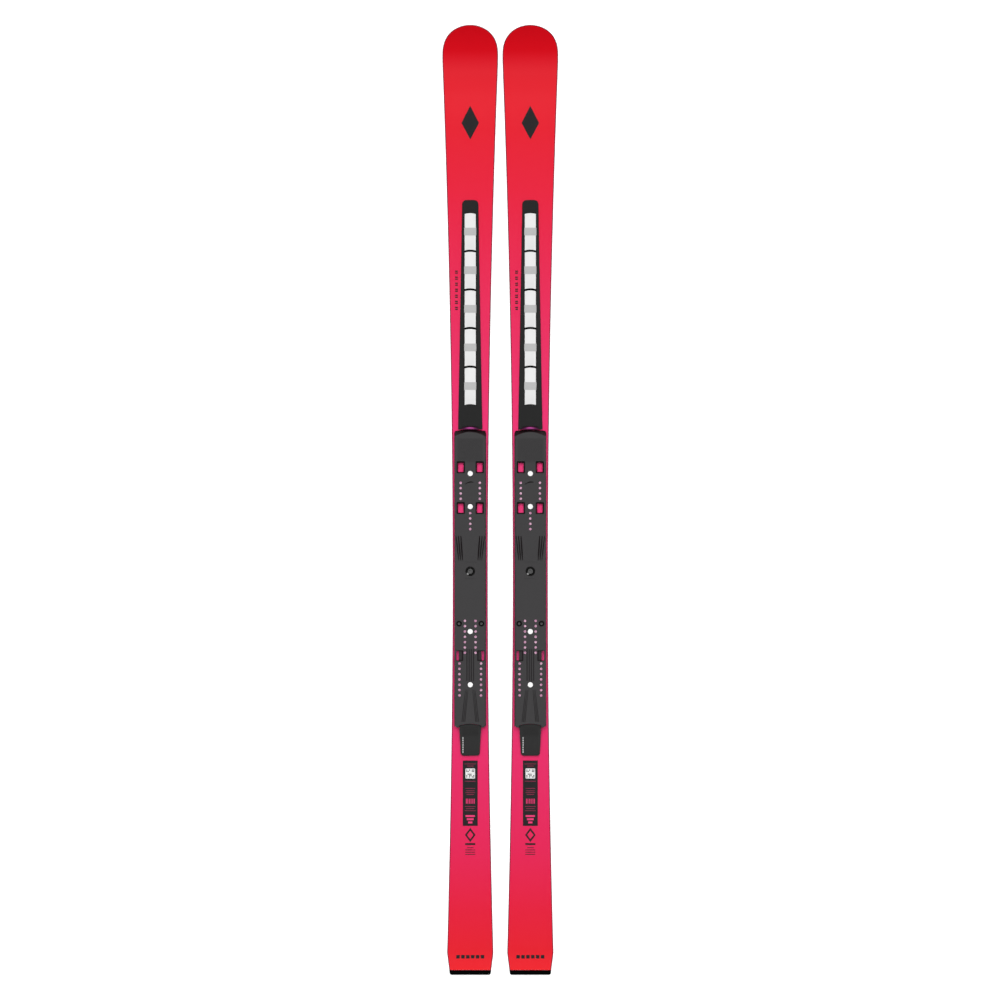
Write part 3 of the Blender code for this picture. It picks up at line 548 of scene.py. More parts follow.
def black_steel(name, shade):
    """Blackened screw steel, rubbed brighter in places."""
    surface = Surface(name, 0.2)
    worn = surface.step(surface.noise(700, detail=5), 0.55, 0.75)
    bright = paint(shade + 14, shade + 14, shade + 16)
    colour = surface.mix(worn, paint(shade, shade, shade), bright)
    return surface.finished(colour, (0.25, 0.45, 500), surface.noise(1200), 0.00003, 0.5)


def washer_steel():
    """Blackened washer, with a painted glint at one place on its rim."""
    surface = Surface("washer_steel", 0.2)
    x = surface.math("SUBTRACT", surface.x, -PAINTED_GLINT_OFFSET)
    y = surface.math("SUBTRACT", surface.y, middle("left_cup_washer").y - PAINTED_GLINT_OFFSET)
    away = surface.math("SQRT", surface.math("MULTIPLY_ADD", x, x, surface.math("MULTIPLY", y, y)))
    # painted glint on the washer's rim
    rubbed = surface.step(away, 0.0026, 0.0012)
    colour = surface.mix(rubbed, paint(30, 30, 30), paint(160, 160, 160))
    colour = surface.mottled(colour, 0.06, 700)
    return surface.finished(colour, (0.25, 0.45, 500), surface.noise(1200), 0.00003, 0.5)


def pale_floor():
    """Plain white studio floor, lit a little from within like a light table."""
    surface = Surface("pale_floor", 0.0)
    surface.feed({"Base Color": surface.mottled(paint(236, 236, 236), 0.01, 3), "Roughness": 0.8,
                  "Emission Color": (1, 1, 1, 1), "Emission Strength": 0.7})
    return surface.material


PRINT = top_sheet_print()
STEEL = plain("filed_steel", (196, 197, 200), (0.08, 40, (1, 0.2, 1)),
              (0.18, 0.42, 900, (4, 0.03, 4)), (1600, (3, 0.02, 3)), 0.00003, 0.5, metallic=1.0)
BASE = ground_base()
SIDEWALL = plain("planed_sidewall", (46, 40, 44), (0.12, 60, (1, 0.15, 4)),
                 (0.3, 0.5, 500, (1, 0.03, 3)), (900, (1, 0.02, 3)), 0.00004, 0.5, specular=0.04)
METAL = plain("sanded_metal", (200, 201, 204), (0.06, 300, (1, 0.05, 1)),
              (0.3, 0.5, 1200, (1, 0.03, 1)), (1500, (1, 0.02, 1)), 0.00003, 0.4, metallic=1.0)
WOOD = ash_wood()
CARRIER = moulded("carrier_black", (42, 42, 42), 0.42, specular=0.2)
# painted shade: the pad, grey like the bands, is painted black where it shows between the blades
PAD_PAINTED_SHADE = rubber("pad_painted_shade", (18, 18, 18))
# with face given, the plate gets painted shade below its upper face
PLATE = moulded("plate_charcoal", (67, 66, 67), 0.5, diamond=(0.068, 0.118, 0.026), specular=0.25,
                face=PLATE_TOP)
TONGUE = moulded("tongue_charcoal", (54, 54, 54), 0.55, diamond=(-0.447, -0.424, 0.017))
TAIL_BLACK = moulded("tail_black", (10, 6, 6), 0.5, specular=0.02)
BLADE = coated("blade_white", (235, 235, 235), 0.3)
CAP = coated("cap_white", (259, 259, 259), 0.35)      # above 255, because small discs show darker
BAND = rubber("band_grey", (192, 192, 192))
BUMPER = bumper_rubber()
PLUG = insert_plastic()
BLACK_STEEL = black_steel("black_steel", 10)
# pale steel: a painted glint in every screw socket, and the centre screw's grey head made paler as
# painted light against the shade of its dish
GREY_STEEL_AND_SOCKET_GLINT = black_steel("grey_steel_and_socket_glint", 84)
WASHER_STEEL = washer_steel()
PRINT_EDGE = coated("print_edge", (128, 50, 68), 0.45, specular=0.04)
INK = coated("ink_black", (38, 36, 38), 0.4)
INK_PINK = coated("ink_pink", (240, 60, 120), 0.4)
INK_WHITE = coated("ink_white", (238, 238, 238), 0.4)
INK_ROSE = coated("ink_rose", (176, 52, 92), 0.4)
INK_GREY = coated("ink_grey", (206, 206, 206), 0.4)


# ---- laminate ----

PRINT_RIM_W = 0.0014              # from the sheet's edge to the inner side of the dark line
SCREW_HOLE_R = 0.0029
SCREWS = ("plate_screw_1", "plate_screw_2", "plate_screw_3", "plate_screw_4",
          "rear_screw_inner", "rear_screw_outer", "centre_screw")


def laminate(side):
    inward = 1 if SIDES[side] < 0 else -1
    dress(running_base(), [BASE], side, "running_base", "base_sheet")
    for sign, where in ((inward, "inner"), (-inward, "outer")):
        dress(steel_edge(sign, where), [STEEL], side, "edge_steel", "steel_edge_" + where)
        dress(sidewall(sign, where), [SIDEWALL], side, "sidewall_black", "sidewall_" + where)
    dress(tip_spacer(), [SIDEWALL], side, "sidewall_black", "tip_insert")
    dress(printed_sheet(), [], side, "top_sheet_red", "top_sheet")
    dress(tail_cap(), [TAIL_BLACK], side, "sidewall_black", "tail_protector")
    for node, material in (("lower_metal_sheet", METAL), ("upper_metal_sheet", METAL),
                           ("wood_core", WOOD)):
        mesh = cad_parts[f"{side}_{node}"].data
        mesh.materials.clear()
        mesh.materials.append(material)


def layer(name, stations, profile, sharp=32):
    """Loft a piece from (y, inset) stations; profile gives its right half at y as (inset, z)."""
    rings = []
    for y, inset in stations:
        w = half_width(y) - inset
        if w > 0.001:
            rings.append(both_sides(profile(y), w, y))
    return loft(name, rings, sharp)


def running_base():
    """The running base, narrower between the edges than in front of them."""
    def profile(y):
        z0 = lift(y, 0)
        return [(0.0002, z0), (0, z0 + 0.0002), (0, lift(y, BASE_T))]
    stations = [(y, EDGE_W + GAP) for y in rows(PROTECTOR_Y + GAP, EDGE_FRONT_Y)]
    stations += [(y, TIP_RIM / 2) for y in rows(EDGE_FRONT_Y + GAP, TIP_Y, 0.006)]
    return layer("running_base", stations, profile)


def steel_edge(sign, where):
    """A steel edge with its two outer corners eased."""
    rings = []
    for y in rows(PROTECTOR_Y + GAP, EDGE_FRONT_Y):
        w = half_width(y)
        z0, z1 = lift(y, 0), lift(y, EDGE_H)
        profile = [(EDGE_W, z0), (0.00015, z0), (0, z0 + 0.00015), (0, z1 - 0.0002),
                   (0.0002, z1), (EDGE_W, z1)]
        rings.append([(sign * (w - inset), y, z) for inset, z in profile])
    return loft("edge_" + where, rings)


def sidewall(sign, where):
    """A sidewall that leans in, with a planed step above the steel edge."""
    rings = []
    for y in rows(PROTECTOR_Y + GAP, CORE_FRONT_Y):
        w = half_width(y)
        z0 = lift(y, CORE_H0)
        z1 = lift(y, thickness(y) - TOP_SHEET_T - GAP)
        step = z0 + min(0.0012, (z1 - z0) * 0.35)
        profile = [(SIDEWALL_W, z0), (0.0002, z0), (0.0002, step - 0.0002),
                   (0.00045, step), (SIDEWALL_TILT, z1), (SIDEWALL_W, z1)]
        rings.append([(sign * (w - inset), y, z) for inset, z in profile])
    return loft("sidewall_strip_" + where, rings)


def tip_spacer():
    """The moulded spacer whose rim shows round the shovel."""
    def profile(y):
        z0, z1 = lift(y, CORE_H0), lift(y, thickness(y) - TOP_SHEET_T - GAP)
        return [(0.0001, z0), (0, z0 + 0.0002), (0.0003, z1)]
    stations = [(y, TIP_RIM) for y in rows(CORE_FRONT_Y + GAP, TIP_Y, 0.006)]
    return layer("tip_spacer", stations, profile)


def printed_sheet():
    """The top sheet, with a dark line along its rounded rim, and its screw holes."""
    def profile(y):
        z0, z1 = on_top(y, -TOP_SHEET_T), on_top(y, 0)
        slope = (half_width(y) - half_width(y + 0.0001)) / 0.0001
        rim = min(PRINT_RIM_W * math.hypot(1, slope), (half_width(y) - SIDEWALL_TILT) * 0.7)
        return [(0, z0)] + fillet(0, z1, TOP_SHEET_T * 0.55, 3)[:-1] + [(rim, z1)]
    stations = [(y, SIDEWALL_TILT) for y in rows(PROTECTOR_Y + GAP / 10, TIP_Y, 0.006)]
    sheet = layer("printed_sheet", stations, profile, 40)
    coat(sheet, [PRINT, PRINT_EDGE])
    for face in sheet.data.polygons:
        at_rim = abs(face.center.x) > 0.0001 or face.center.y > TIP_Y - PRINT_RIM_W
        if at_rim and face.normal.z > 0.75:
            face.material_index = 1
    holes = bmesh.new()
    for _, x, y, *_ in screws("left"):
        add_prism(holes, circle(x, y, SCREW_HOLE_R, 16), on_top(y, -0.004), on_top(y, 0.004))
    cut(sheet, holes)
    return sheet


def tail_cap():
    """The protector that wraps the tail's end."""
    def profile(y):
        ease = 0.0008 if y < TAIL_Y + 0.001 else 0
        z0, z1 = lift(y, 0.0003), on_top(y, 0.0003)
        return [(0.0006, z0 + ease), (0, z0 + 0.0006)] + fillet(0, z1 - ease, 0.0010, 3)
    ys = [TAIL_Y + (PROTECTOR_Y - TAIL_Y) * (1 - math.cos(a)) for a in quarter(10)]
    return layer("tail_cap", [(y, 0) for y in ys], profile)


def screws(side):
    """Each screw's name, place on its ski, head radius, and the heights of its tip and top."""
    for name in SCREWS:
        low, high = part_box(f"{side}_{name}")
        place = middle(f"{side}_{name}")
        yield name, place.x - SIDES[side], place.y, (high.x - low.x) / 2, low.z, high.z


# ---- shock insert ----

CARRIER_FRONT_W, CARRIER_REAR_W, CARRIER_WIDENING, CARRIER_ARCH = 0.0304, 0.0458, 1.08, 0.010
CARRIER_H, CHANNEL_HALF_W, CHANNEL_FLOOR_H, BUMPER_CHANNEL_HALF_W = 0.0034, 0.0118, 0.0011, 0.0162
CHANNELS = ((0.5415, 0.1765), (0.1388, CARRIER_LOW.y))
BLADES = 5
BLADE_HALF_W, BLADE_H0, BLADE_T, BLADE_ARCH = 0.0105, 0.0023, 0.0018, 0.0016
BAND_OFFSET, BAND_LENGTH, BAND_WALL, PAD_T = 0.0274, 0.0144, 0.0006, 0.0006


def carrier_half_width(y):
    t = (CARRIER_HIGH.y - y) / (CARRIER_HIGH.y - CARRIER_LOW.y)
    straight = (CARRIER_FRONT_W + (CARRIER_REAR_W - CARRIER_FRONT_W) * t ** CARRIER_WIDENING) / 2
    into_arch = max(0.0, (y - CARRIER_HIGH.y + CARRIER_ARCH) / CARRIER_ARCH)
    return straight * (1 - 0.999 * into_arch ** 2) ** 0.2


def carrier():
    """The black tray: rounded rim, sunk channels for the blades and the bumper."""
    arch = [CARRIER_HIGH.y - CARRIER_ARCH * (1 - math.sin(a)) for a in quarter(12)]
    ys = rows(CARRIER_LOW.y, CARRIER_HIGH.y - CARRIER_ARCH, 0.009) + arch
    for front, rear in CHANNELS:
        ys += [front, front - GAP / 3, rear, rear + GAP / 3]
    rings = []
    for y in sorted(set(ys)):
        w = carrier_half_width(y)
        channel = BUMPER_CHANNEL_HALF_W if y < CHANNELS[1][0] + GAP else CHANNEL_HALF_W
        channel = min(channel, w * 0.86)
        inside = y == CARRIER_LOW.y or any(rear < y < front for front, rear in CHANNELS)
        top = on_top(y, CARRIER_H)
        floor = on_top(y, CHANNEL_FLOOR_H) if inside else top - 0.0001
        rim = min(0.0009, w * 0.06)
        profile = [(0.0001, on_top(y, GAP)), (0, on_top(y, GAP) + 0.0002)]
        profile += fillet(0, top, rim) + [(w - channel, top), (w - channel, floor)]
        rings.append(both_sides(profile, w, y))
    return loft("insert_tray", rings)


def blade_rings(front_y, rear_y):
    """Rings across a blade: arched ends, a flat crown and lower facets at its sides."""
    mid = (front_y + rear_y) / 2
    slope = (on_top(front_y, 0) - on_top(rear_y, 0)) / (front_y - rear_y)
    low = on_top(mid, BLADE_H0)
    edge = 0.0004
    rings = []
    for part in (-1, -0.97, -0.86, -0.62, -0.6, -0.3, 0, 0.3, 0.6, 0.62, 0.86, 0.97, 1):
        arch = BLADE_ARCH * part ** 2
        rear, front = rear_y - arch, front_y - arch
        facet = max(0.0, abs(part) - 0.61) / 0.39
        top = BLADE_T - 0.0004 * facet - (0.00035 if abs(part) == 1 else 0)
        outline = [(rear, 0), (front, 0), (front, top - edge),
                   (front - edge * 0.3, top - edge * 0.3), (front - edge, top), (rear + edge, top),
                   (rear + edge * 0.3, top - edge * 0.3), (rear, top - edge)]
        rings.append([(BLADE_HALF_W * part, y, low + (y - mid) * slope + h) for y, h in outline])
    return rings


def shock_insert(side):
    dress(carrier(), [CARRIER], side, "carrier_black", "damper_carrier")
    fronts = []
    for index in range(1, BLADES + 1):
        node = f"damper_blade_{index}"
        low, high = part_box(f"{side}_{node}")
        fronts.append(high.y)
        blade = loft(f"blade_{index}", blade_rings(high.y, low.y + BLADE_ARCH), 24)
        dress(blade, [BLADE], side, "blade_white", node, body=node)
    dress(elastomer(side, fronts), [], side, "elastomer_grey", "damper_elastomer")
    dress(bumper(), [BUMPER], side, "elastomer_violet", "plate_bumper")


def elastomer(side, blade_fronts):
    """The flat pad, black as painted shade where it shows between the blades, with one loop round
    each blade.
    """
    low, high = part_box(side + "_damper_elastomer")
    half = (high.x - low.x) / 2
    rings = []
    for y in rows(low.y, high.y, 0.01):
        z0 = on_top(y, CHANNEL_FLOOR_H + GAP)
        z1 = z0 + PAD_T
        rings.append([(-half, y, z0), (half, y, z0), (half, y, z1), (-half, y, z1)])
    bm = bmesh.new()
    add_loft(bm, rings, 1)
    pad = mesh_object("insert_bands", bm)
    coat(pad, [BAND, PAD_PAINTED_SHADE])
    loops = bmesh.new()
    for front in blade_fronts:
        add_band(loops, front - BAND_OFFSET, half)
    cut(pad, loops, "UNION")
    return pad


def eased_box(half, low, high, ease_x, ease_z):
    """Outline of a box section with its upper corners cut off."""
    return [(-half, low), (half, low), (half, high - ease_z), (half - ease_x, high),
            (ease_x - half, high), (-half, high - ease_z)]


def add_band(bm, front, outer):
    """One loop round a blade: a closed rectangular tube with a rounded back."""
    rear = front - BAND_LENGTH
    inner = outer - BAND_WALL
    low = on_top(front, CHANNEL_FLOOR_H + GAP + PAD_T / 3)
    hole_low = on_top(front, BLADE_H0 - GAP)
    hole_high = on_top(rear, BLADE_H0 + BLADE_T + GAP)
    inside = eased_box(inner, hole_low, hole_high, 0.0001, 0.0001)
    loops = []
    steps = 8
    for i in range(steps + 1):
        y = rear + (front - rear) * i / steps
        swell = BAND_WALL * 0.5 * (1 - math.sin(math.pi * i / steps))
        outside = eased_box(outer, low, hole_high + BAND_WALL - swell, 0.0004, 0.0003)
        loops.append([[bm.verts.new((x, y, z)) for x, z in ring] for ring in (outside, inside)])
    sides = [(i, (i + 1) % len(inside)) for i in range(len(inside))]
    for (out_a, in_a), (out_b, in_b) in zip(loops, loops[1:]):
        for i, j in sides:
            bm.faces.new((out_a[i], out_a[j], out_b[j], out_b[i]))
            bm.faces.new((in_a[j], in_a[i], in_b[i], in_b[j]))
    for ring_out, ring_in in (loops[0], loops[-1]):
        for i, j in sides:
            bm.faces.new((ring_out[i], ring_out[j], ring_in[j], ring_in[i]))


def bumper():
    """The violet bumper, crowned and rounded, in front of the plate."""
    low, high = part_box("left_plate_bumper")
    bottom = on_top(low.y, CHANNEL_FLOOR_H + GAP)
    rings = []
    for part in shares(20):
        x = (high.x - low.x) / 2 * part
        front = high.y - 0.0028 * part ** 2
        tall = (high.z - bottom) * (1 - 0.3 * part ** 2)
        ring = [(x, low.y, bottom), (x, front, bottom)]
        for a in quarter(8):
            ring.append((x, front - (front - low.y) * 0.8 * (1 - math.cos(a)),
                         bottom + tall * (0.62 + 0.38 * math.sin(a))))
        rings.append(ring + [(x, low.y, bottom + tall)])
    return loft("nose_bumper", rings, 50)


# ---- race plate ----

PLATE_FILLET, PLATE_CORNER = 0.0020, 0.006
NOSE_Y, NOSE_SWEEP, NOSE_DROP, NOSE_ARCH = 0.1275, 0.009, 0.0095, 0.0030
MARGIN, REACH = 0.005, 0.025
WINDOW_X, WINDOW_Y = 0.0178, (0.0614, -0.0153)
WINDOW_SIZE, WINDOW_FRAME, WINDOW_DEPTH = (0.0105, 0.0170), (0.0155, 0.0225), 0.003
SLOT_Y, SLOT_LENGTH, SLOT_DEPTH = -0.293, 0.018, 0.0009
MOAT_W, MOAT_DEPTH = 0.0017, 0.0045
SLOT_FRAME_X, SLOT_X = (0.0133, 0.0269), (0.0214, 0.0259)
INSERT_R, INSERT_PITCH, INSERT_DEPTH = 0.0024, 0.010, 0.009
INSERT_ROWS = (
    (-0.0180, 0.032, 4), (0.0180, 0.032, 4), (0.0, -0.025, 4), (-0.0100, -0.2275, 7),
    (0.0100, -0.2275, 7), (-0.0203, -0.3077, 7), (0.0203, -0.3077, 7))
SLANTED_GROOVES = ((0.0266, 0.0216, 0.0021), (0.0223, 0.0182, 0.0027), (0.0177, 0.0146, 0.0031))
FLARED_GROOVES = ((0.0044, 0.0103, 0.0016), (0.0066, 0.0129, 0.0018), (0.0090, 0.0157, 0.0018))
HEAD_T = 0.003
NOTCH_FRONT_Y, NOTCH_HALF_W, NOTCH_ARCH = -0.421, 0.0212, 0.0035
CUP_R, CUP_T = 0.00875, 0.0036


def plate_body():
    """The plate's solid before its cut-outs: rounded upper edges and a groove along each side."""
    round_in = [PLATE_CORNER * (1 - math.cos(a)) for a in quarter(8)]
    rear = [PLATE_LOW.y + into for into in round_in]
    front = [PLATE_HIGH.y - into for into in reversed(round_in)]
    ys = rear + rows(rear[-1], front[0], 0.010)[1:-1] + front
    rings = []
    for y in ys:
        to_end = min(y - PLATE_LOW.y, PLATE_HIGH.y - y)
        w = PLATE_HALF_W - PLATE_CORNER * corner(1 - to_end / PLATE_CORNER)
        bottom = on_top(y, GAP)
        profile = [(0.0004, bottom), (0, bottom + 0.0004), (0, PLATE_TOP - 0.0082),
                   (0.0007, PLATE_TOP - 0.0077), (0.0007, PLATE_TOP - 0.0055),
                   (0, PLATE_TOP - 0.005)]
        profile += fillet(0, PLATE_TOP, PLATE_FILLET)
        rings.append(both_sides(profile, w, y))
    return loft("plate_deck", rings)


def nose_cutter():
    """The sloping front of the plate, which starts along an arch."""
    bm = bmesh.new()
    front = PLATE_HIGH.y + MARGIN
    low, high = PLATE_TOP - NOSE_DROP, PLATE_TOP + MARGIN
    rings = []
    for i in range(-13, 14):
        part = i / 12
        x = PLATE_HALF_W * part
        start = NOSE_Y - NOSE_SWEEP * part ** 2
        foot = PLATE_HIGH.y + GAP - NOSE_ARCH * part ** 2
        rings.append([(x, start - 0.0010, high), (x, start - 0.0010, PLATE_TOP),
                      (x, start - 0.0003, PLATE_TOP - 0.0003),
                      (x, start + 0.0003, PLATE_TOP - 0.0012), (x, foot, low),
                      (x, foot, PLATE_TOP - REACH), (x, front, PLATE_TOP - REACH),
                      (x, front, high)])
    add_loft(bm, rings)
    return bm


def sink(bm, outline, depth):
    """Add a cutter that goes this deep into the plate from above."""
    add_prism(bm, outline, PLATE_TOP - depth, PLATE_TOP + MARGIN)


def through_cutter(side):
    """Windows, slots and screw holes."""
    bm = bmesh.new()
    for sign in (-1, 1):
        for y in WINDOW_Y:
            sink(bm, rounded_rect(sign * WINDOW_X, y - 0.0005, *WINDOW_SIZE, 0.0012), REACH)
        x = sign * sum(SLOT_X) / 2
        sink(bm, rounded_rect(x, SLOT_Y, SLOT_X[1] - SLOT_X[0], SLOT_LENGTH, 0.0010), REACH)
    for _, x, y, *_ in screws(side):
        sink(bm, circle(x, y, SCREW_HOLE_R), REACH)
    return bm


def recess_cutter(side):
    """Window frames, slot recesses, counterbores and insert bores."""
    bm = bmesh.new()
    for sign in (-1, 1):
        for y in WINDOW_Y:
            sink(bm, rounded_rect(sign * WINDOW_X, y, *WINDOW_FRAME, 0.0016), WINDOW_DEPTH)
        x = sign * sum(SLOT_FRAME_X) / 2
        width = SLOT_FRAME_X[1] - SLOT_FRAME_X[0]
        sink(bm, rounded_rect(x, SLOT_Y, width, SLOT_LENGTH + 0.002, 0.0012), SLOT_DEPTH)
    for name, x, y, head_r, *_ in screws(side):
        if name == "centre_screw":
            sink(bm, circle(x, y, CUP_R + GAP, 40), CUP_T + GAP)
        else:
            sink(bm, circle(x, y, head_r + GAP, 32), HEAD_T + GAP)
    for x, y in insert_places():
        sink(bm, circle(x, y, INSERT_R + 0.0001, 20), INSERT_DEPTH)
    return bm


def moat_cutter():
    """The narrow moat round three sides of each slot recess's floor."""
    bm = bmesh.new()
    inner, outer = SLOT_FRAME_X[0] + 0.0002, SLOT_FRAME_X[1] - 0.0012
    front, rear = SLOT_Y + SLOT_LENGTH / 2 + 0.0008, SLOT_Y - SLOT_LENGTH / 2 - 0.0008
    outline = [(outer, front), (inner, front), (inner, rear), (outer, rear), (outer, rear + MOAT_W),
               (inner + MOAT_W, rear + MOAT_W), (inner + MOAT_W, front - MOAT_W),
               (outer, front - MOAT_W)]
    for sign in (-1, 1):
        sink(bm, [(sign * x, y) for x, y in outline], MOAT_DEPTH)
    return bm


def insert_places():
    return [(x, first - INSERT_PITCH * i) for x, first, count in INSERT_ROWS for i in range(count)]


def add_groove(bm, points, widths, depth):
    """A groove of V section along points, in the plate's top face."""
    rings = []
    for i, (x, y) in enumerate(points):
        near = points[max(0, i - 1)]
        far = points[min(len(points) - 1, i + 1)]
        along = Vector((far[0] - near[0], far[1] - near[1])).normalized()
        across = Vector((-along.y, along.x))
        half = widths[i] / 2
        spread = half * (1 + 0.001 / depth)
        rings.append([(x + across.x * side, y + across.y * side, PLATE_TOP + height)
                      for side, height in ((-spread, 0.001), (-half * 0.35, -depth),
                                           (half * 0.35, -depth), (spread, 0.001))])
    add_loft(bm, rings)


def groove_cutter():
    """The slanted grooves, the ribbed channel with its flare, and the fine lines on the deck."""
    bm = bmesh.new()
    for sign in (-1, 1):
        for x0, x1, wide in SLANTED_GROOVES:
            points = [(sign * (x0 + (x1 - x0) * t), -0.068 - 0.046 * t) for t in (0, 0.35, 0.7, 1)]
            add_groove(bm, points, [wide * 0.6, wide * 0.9, wide * 0.9, wide * 0.4], 0.0016)
        for x in (0.0020, 0.0062):
            add_groove(bm, [(sign * x, -0.281), (sign * x, -0.3405)], [0.0018] * 2, 0.0011)
        for x0, x1, wide in FLARED_GROOVES:
            points = [(sign * (x0 + (x1 - x0) * t), -0.3575 - 0.060 * t) for t in (0, 0.5, 1)]
            add_groove(bm, points, [wide * 0.4, wide * 0.7, wide * 0.8], 0.0010)
    arc = [(-0.0105 + 0.0015 * i, 0.0335 - 0.0045 * ((i - 8.3) / 8.3) ** 2) for i in range(12)]
    add_groove(bm, arc, [0.0008 + 0.00020 * min(i, 14 - i) for i in range(12)], 0.0018)
    for y in (-0.034, -0.1170, -0.1480):
        add_groove(bm, [(-0.012, y), (0.012, y)], [0.0007] * 2, 0.0003)
    return bm


def notch_cutter():
    """The notch that the tongue fits, with an arched front."""
    bm = bmesh.new()
    parts = [i / 10 for i in range(-10, 11)]
    front = [(NOTCH_HALF_W * p, NOTCH_FRONT_Y - NOTCH_ARCH * p ** 2) for p in parts]
    behind = PLATE_LOW.y - MARGIN
    sink(bm, front + [(NOTCH_HALF_W, behind), (-NOTCH_HALF_W, behind)], REACH)
    return bm


def race_plate(side):
    plate = plate_body()
    for tool in (nose_cutter(), through_cutter(side), recess_cutter(side), moat_cutter(),
                 groove_cutter(), notch_cutter()):
        cut(plate, tool)
    dress(plate, [PLATE], side, "plate_grey", "race_plate")
    plugs = bmesh.new()
    for x, y in insert_places():
        r, top, dip = INSERT_R, PLATE_TOP - 0.0002, 0.0006
        profile = [(0, top - dip), (r * 0.35, top - dip), (r * 0.5, top - 0.0001), (r * 0.6, top),
                   (r - 0.0003, top), (r, top - 0.0003), (r, PLATE_TOP - INSERT_DEPTH + GAP),
                   (0, PLATE_TOP - INSERT_DEPTH + GAP)]
        add_turned(plugs, profile, x, y, 20)
    dress(mesh_object("insert_plugs", plugs), [PLUG], side, None)
    dress(tongue(), [TONGUE], side, "tongue_grey", "plate_tongue")
    fasteners(side)


def tongue_top(y, drop=0.0):
    """Height of the tongue's sloping top face at y."""
    front, rear = TONGUE_HIGH.y, TONGUE_LOW.y
    z_front, z_rear = on_top(front, 0.0135), on_top(rear, 0.0062)
    return z_rear + (z_front - z_rear) * (y - rear) / (front - rear) - drop


def tongue():
    """The tail piece of the plate, arched in front, rounded at the back."""
    rings = []
    for part in shares(24):
        front_x, rear_x = 0.0207 * part, 0.018 * part
        front = TONGUE_HIGH.y - NOTCH_ARCH * (front_x / NOTCH_HALF_W) ** 2
        rear = TONGUE_LOW.y + 0.006 * corner((abs(part) - 0.7) / 0.3)
        drop = 0.0012 * corner((abs(part) - 0.94) / 0.06)
        ring = [(rear_x, rear, on_top(rear, GAP)), (front_x, front, on_top(front, GAP)),
                (front_x, front, tongue_top(front, drop) - 0.0003),
                (front_x, front - 0.0004, tongue_top(front, drop))]
        for t in (0.75, 0.5, 0.25):
            y = rear + (front - rear) * t
            ring.append((rear_x + (front_x - rear_x) * t, y, tongue_top(y, drop)))
        ring += [(rear_x, rear + 0.0012, tongue_top(rear, drop + 0.0001)),
                 (rear_x, rear + 0.0003, tongue_top(rear, drop + 0.0005)),
                 (rear_x, rear, tongue_top(rear, drop + 0.0012))]
        rings.append(ring)
    return loft("tail_tongue", rings)


# ---- fasteners ----

SHANK_R, THREAD_DEPTH, THREAD_PITCH, SOCKET_R = 0.0024, 0.0005, 0.0012, 0.0024


def screw_profile(top, head_r, tip, socket):
    """A screw's profile: eased head, optional socket, threaded shank, pointed tip."""
    under = top - HEAD_T
    profile = [(0, top)]
    if socket:
        profile = [(0, top - 0.0018), (SOCKET_R * 0.9, top - 0.0016), (SOCKET_R, top - 0.0002),
                   (SOCKET_R + 0.0003, top)]
    level_r = head_r - 0.0005
    profile += [(level_r - STRIP, top), (level_r, top), (head_r - 0.00015, top - 0.00015),
                (head_r, top - 0.0005), (head_r, under), (SHANK_R, under)]
    z = under - 0.001
    while z - THREAD_PITCH > tip + 0.003:
        profile += [(SHANK_R, z), (SHANK_R - THREAD_DEPTH, z - THREAD_PITCH / 2)]
        z -= THREAD_PITCH
    return profile + [(SHANK_R, tip + 0.0024), (0, tip)]


def fasteners(side):
    for name, x, y, head_r, tip, top in screws(side):
        socket = not name.startswith("plate")
        bm = bmesh.new()
        add_turned(bm, screw_profile(top, head_r, tip, socket), x, y, inner=2 if socket else 0)
        materials = [CAP]
        if socket:
            # sockets get the pale steel as a painted glint
            materials = [GREY_STEEL_AND_SOCKET_GLINT if name == "centre_screw" else BLACK_STEEL, GREY_STEEL_AND_SOCKET_GLINT]
        dress(mesh_object("fitted_" + name, bm), materials, side,
              "screw_black" if socket else "cap_white", name)
    low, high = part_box(side + "_cup_washer")
    top, bottom = high.z, low.z
    profile = [(0.0027, bottom + 0.0012), (0.0050, bottom + 0.0013), (0.0062, top - 0.0004),
               (0.0066, top), (CUP_R - 0.0007, top), (CUP_R - 0.0002, top - 0.0002),
               (CUP_R, top - 0.0007), (CUP_R, bottom), (0.0027, bottom)]
    bm = bmesh.new()
    add_turned(bm, profile, 0, middle(side + "_cup_washer").y, 40, closed=True)
    dress(mesh_object("dished_washer", bm), [WASHER_STEEL], side, "screw_black", "cup_washer")


# ---- printed marks ----

INK_LOW, INK_HIGH = 0.00001, 0.00006


def add_mark(bm, outline, slot=0, layer=0, surface=on_top):
    """Print a convex flat shape on a surface that curves along the ski."""
    flat = bmesh.new()
    flat.faces.new([flat.verts.new((x, y, 0)) for x, y in outline])
    low = min(y for _, y in outline)
    high = max(y for _, y in outline)
    y = low + 0.006
    while y < high - 0.001:
        geometry = list(flat.verts) + list(flat.edges) + list(flat.faces)
        bmesh.ops.bisect_plane(flat, geom=geometry, plane_co=(0, y, 0), plane_no=(0, 1, 0))
        y += 0.006
    tops, lows = {}, {}
    for found, height in ((tops, INK_HIGH), (lows, INK_LOW)):
        for v in flat.verts:
            z = surface(v.co.y, height + INK_HIGH * layer)
            found[v] = bm.verts.new((v.co.x, v.co.y, z))
    for face in flat.faces:
        bm.faces.new([tops[v] for v in face.verts]).material_index = slot
        bm.faces.new([lows[v] for v in reversed(face.verts)]).material_index = slot
    for edge in flat.edges:
        if edge.is_boundary:
            a, b = edge.verts
            bm.faces.new((tops[a], tops[b], lows[b], lows[a])).material_index = slot
    flat.free()


def bar(x, y, width, length):
    w, h = width / 2, length / 2
    return [(x - w, y - h), (x + w, y - h), (x + w, y + h), (x - w, y + h)]


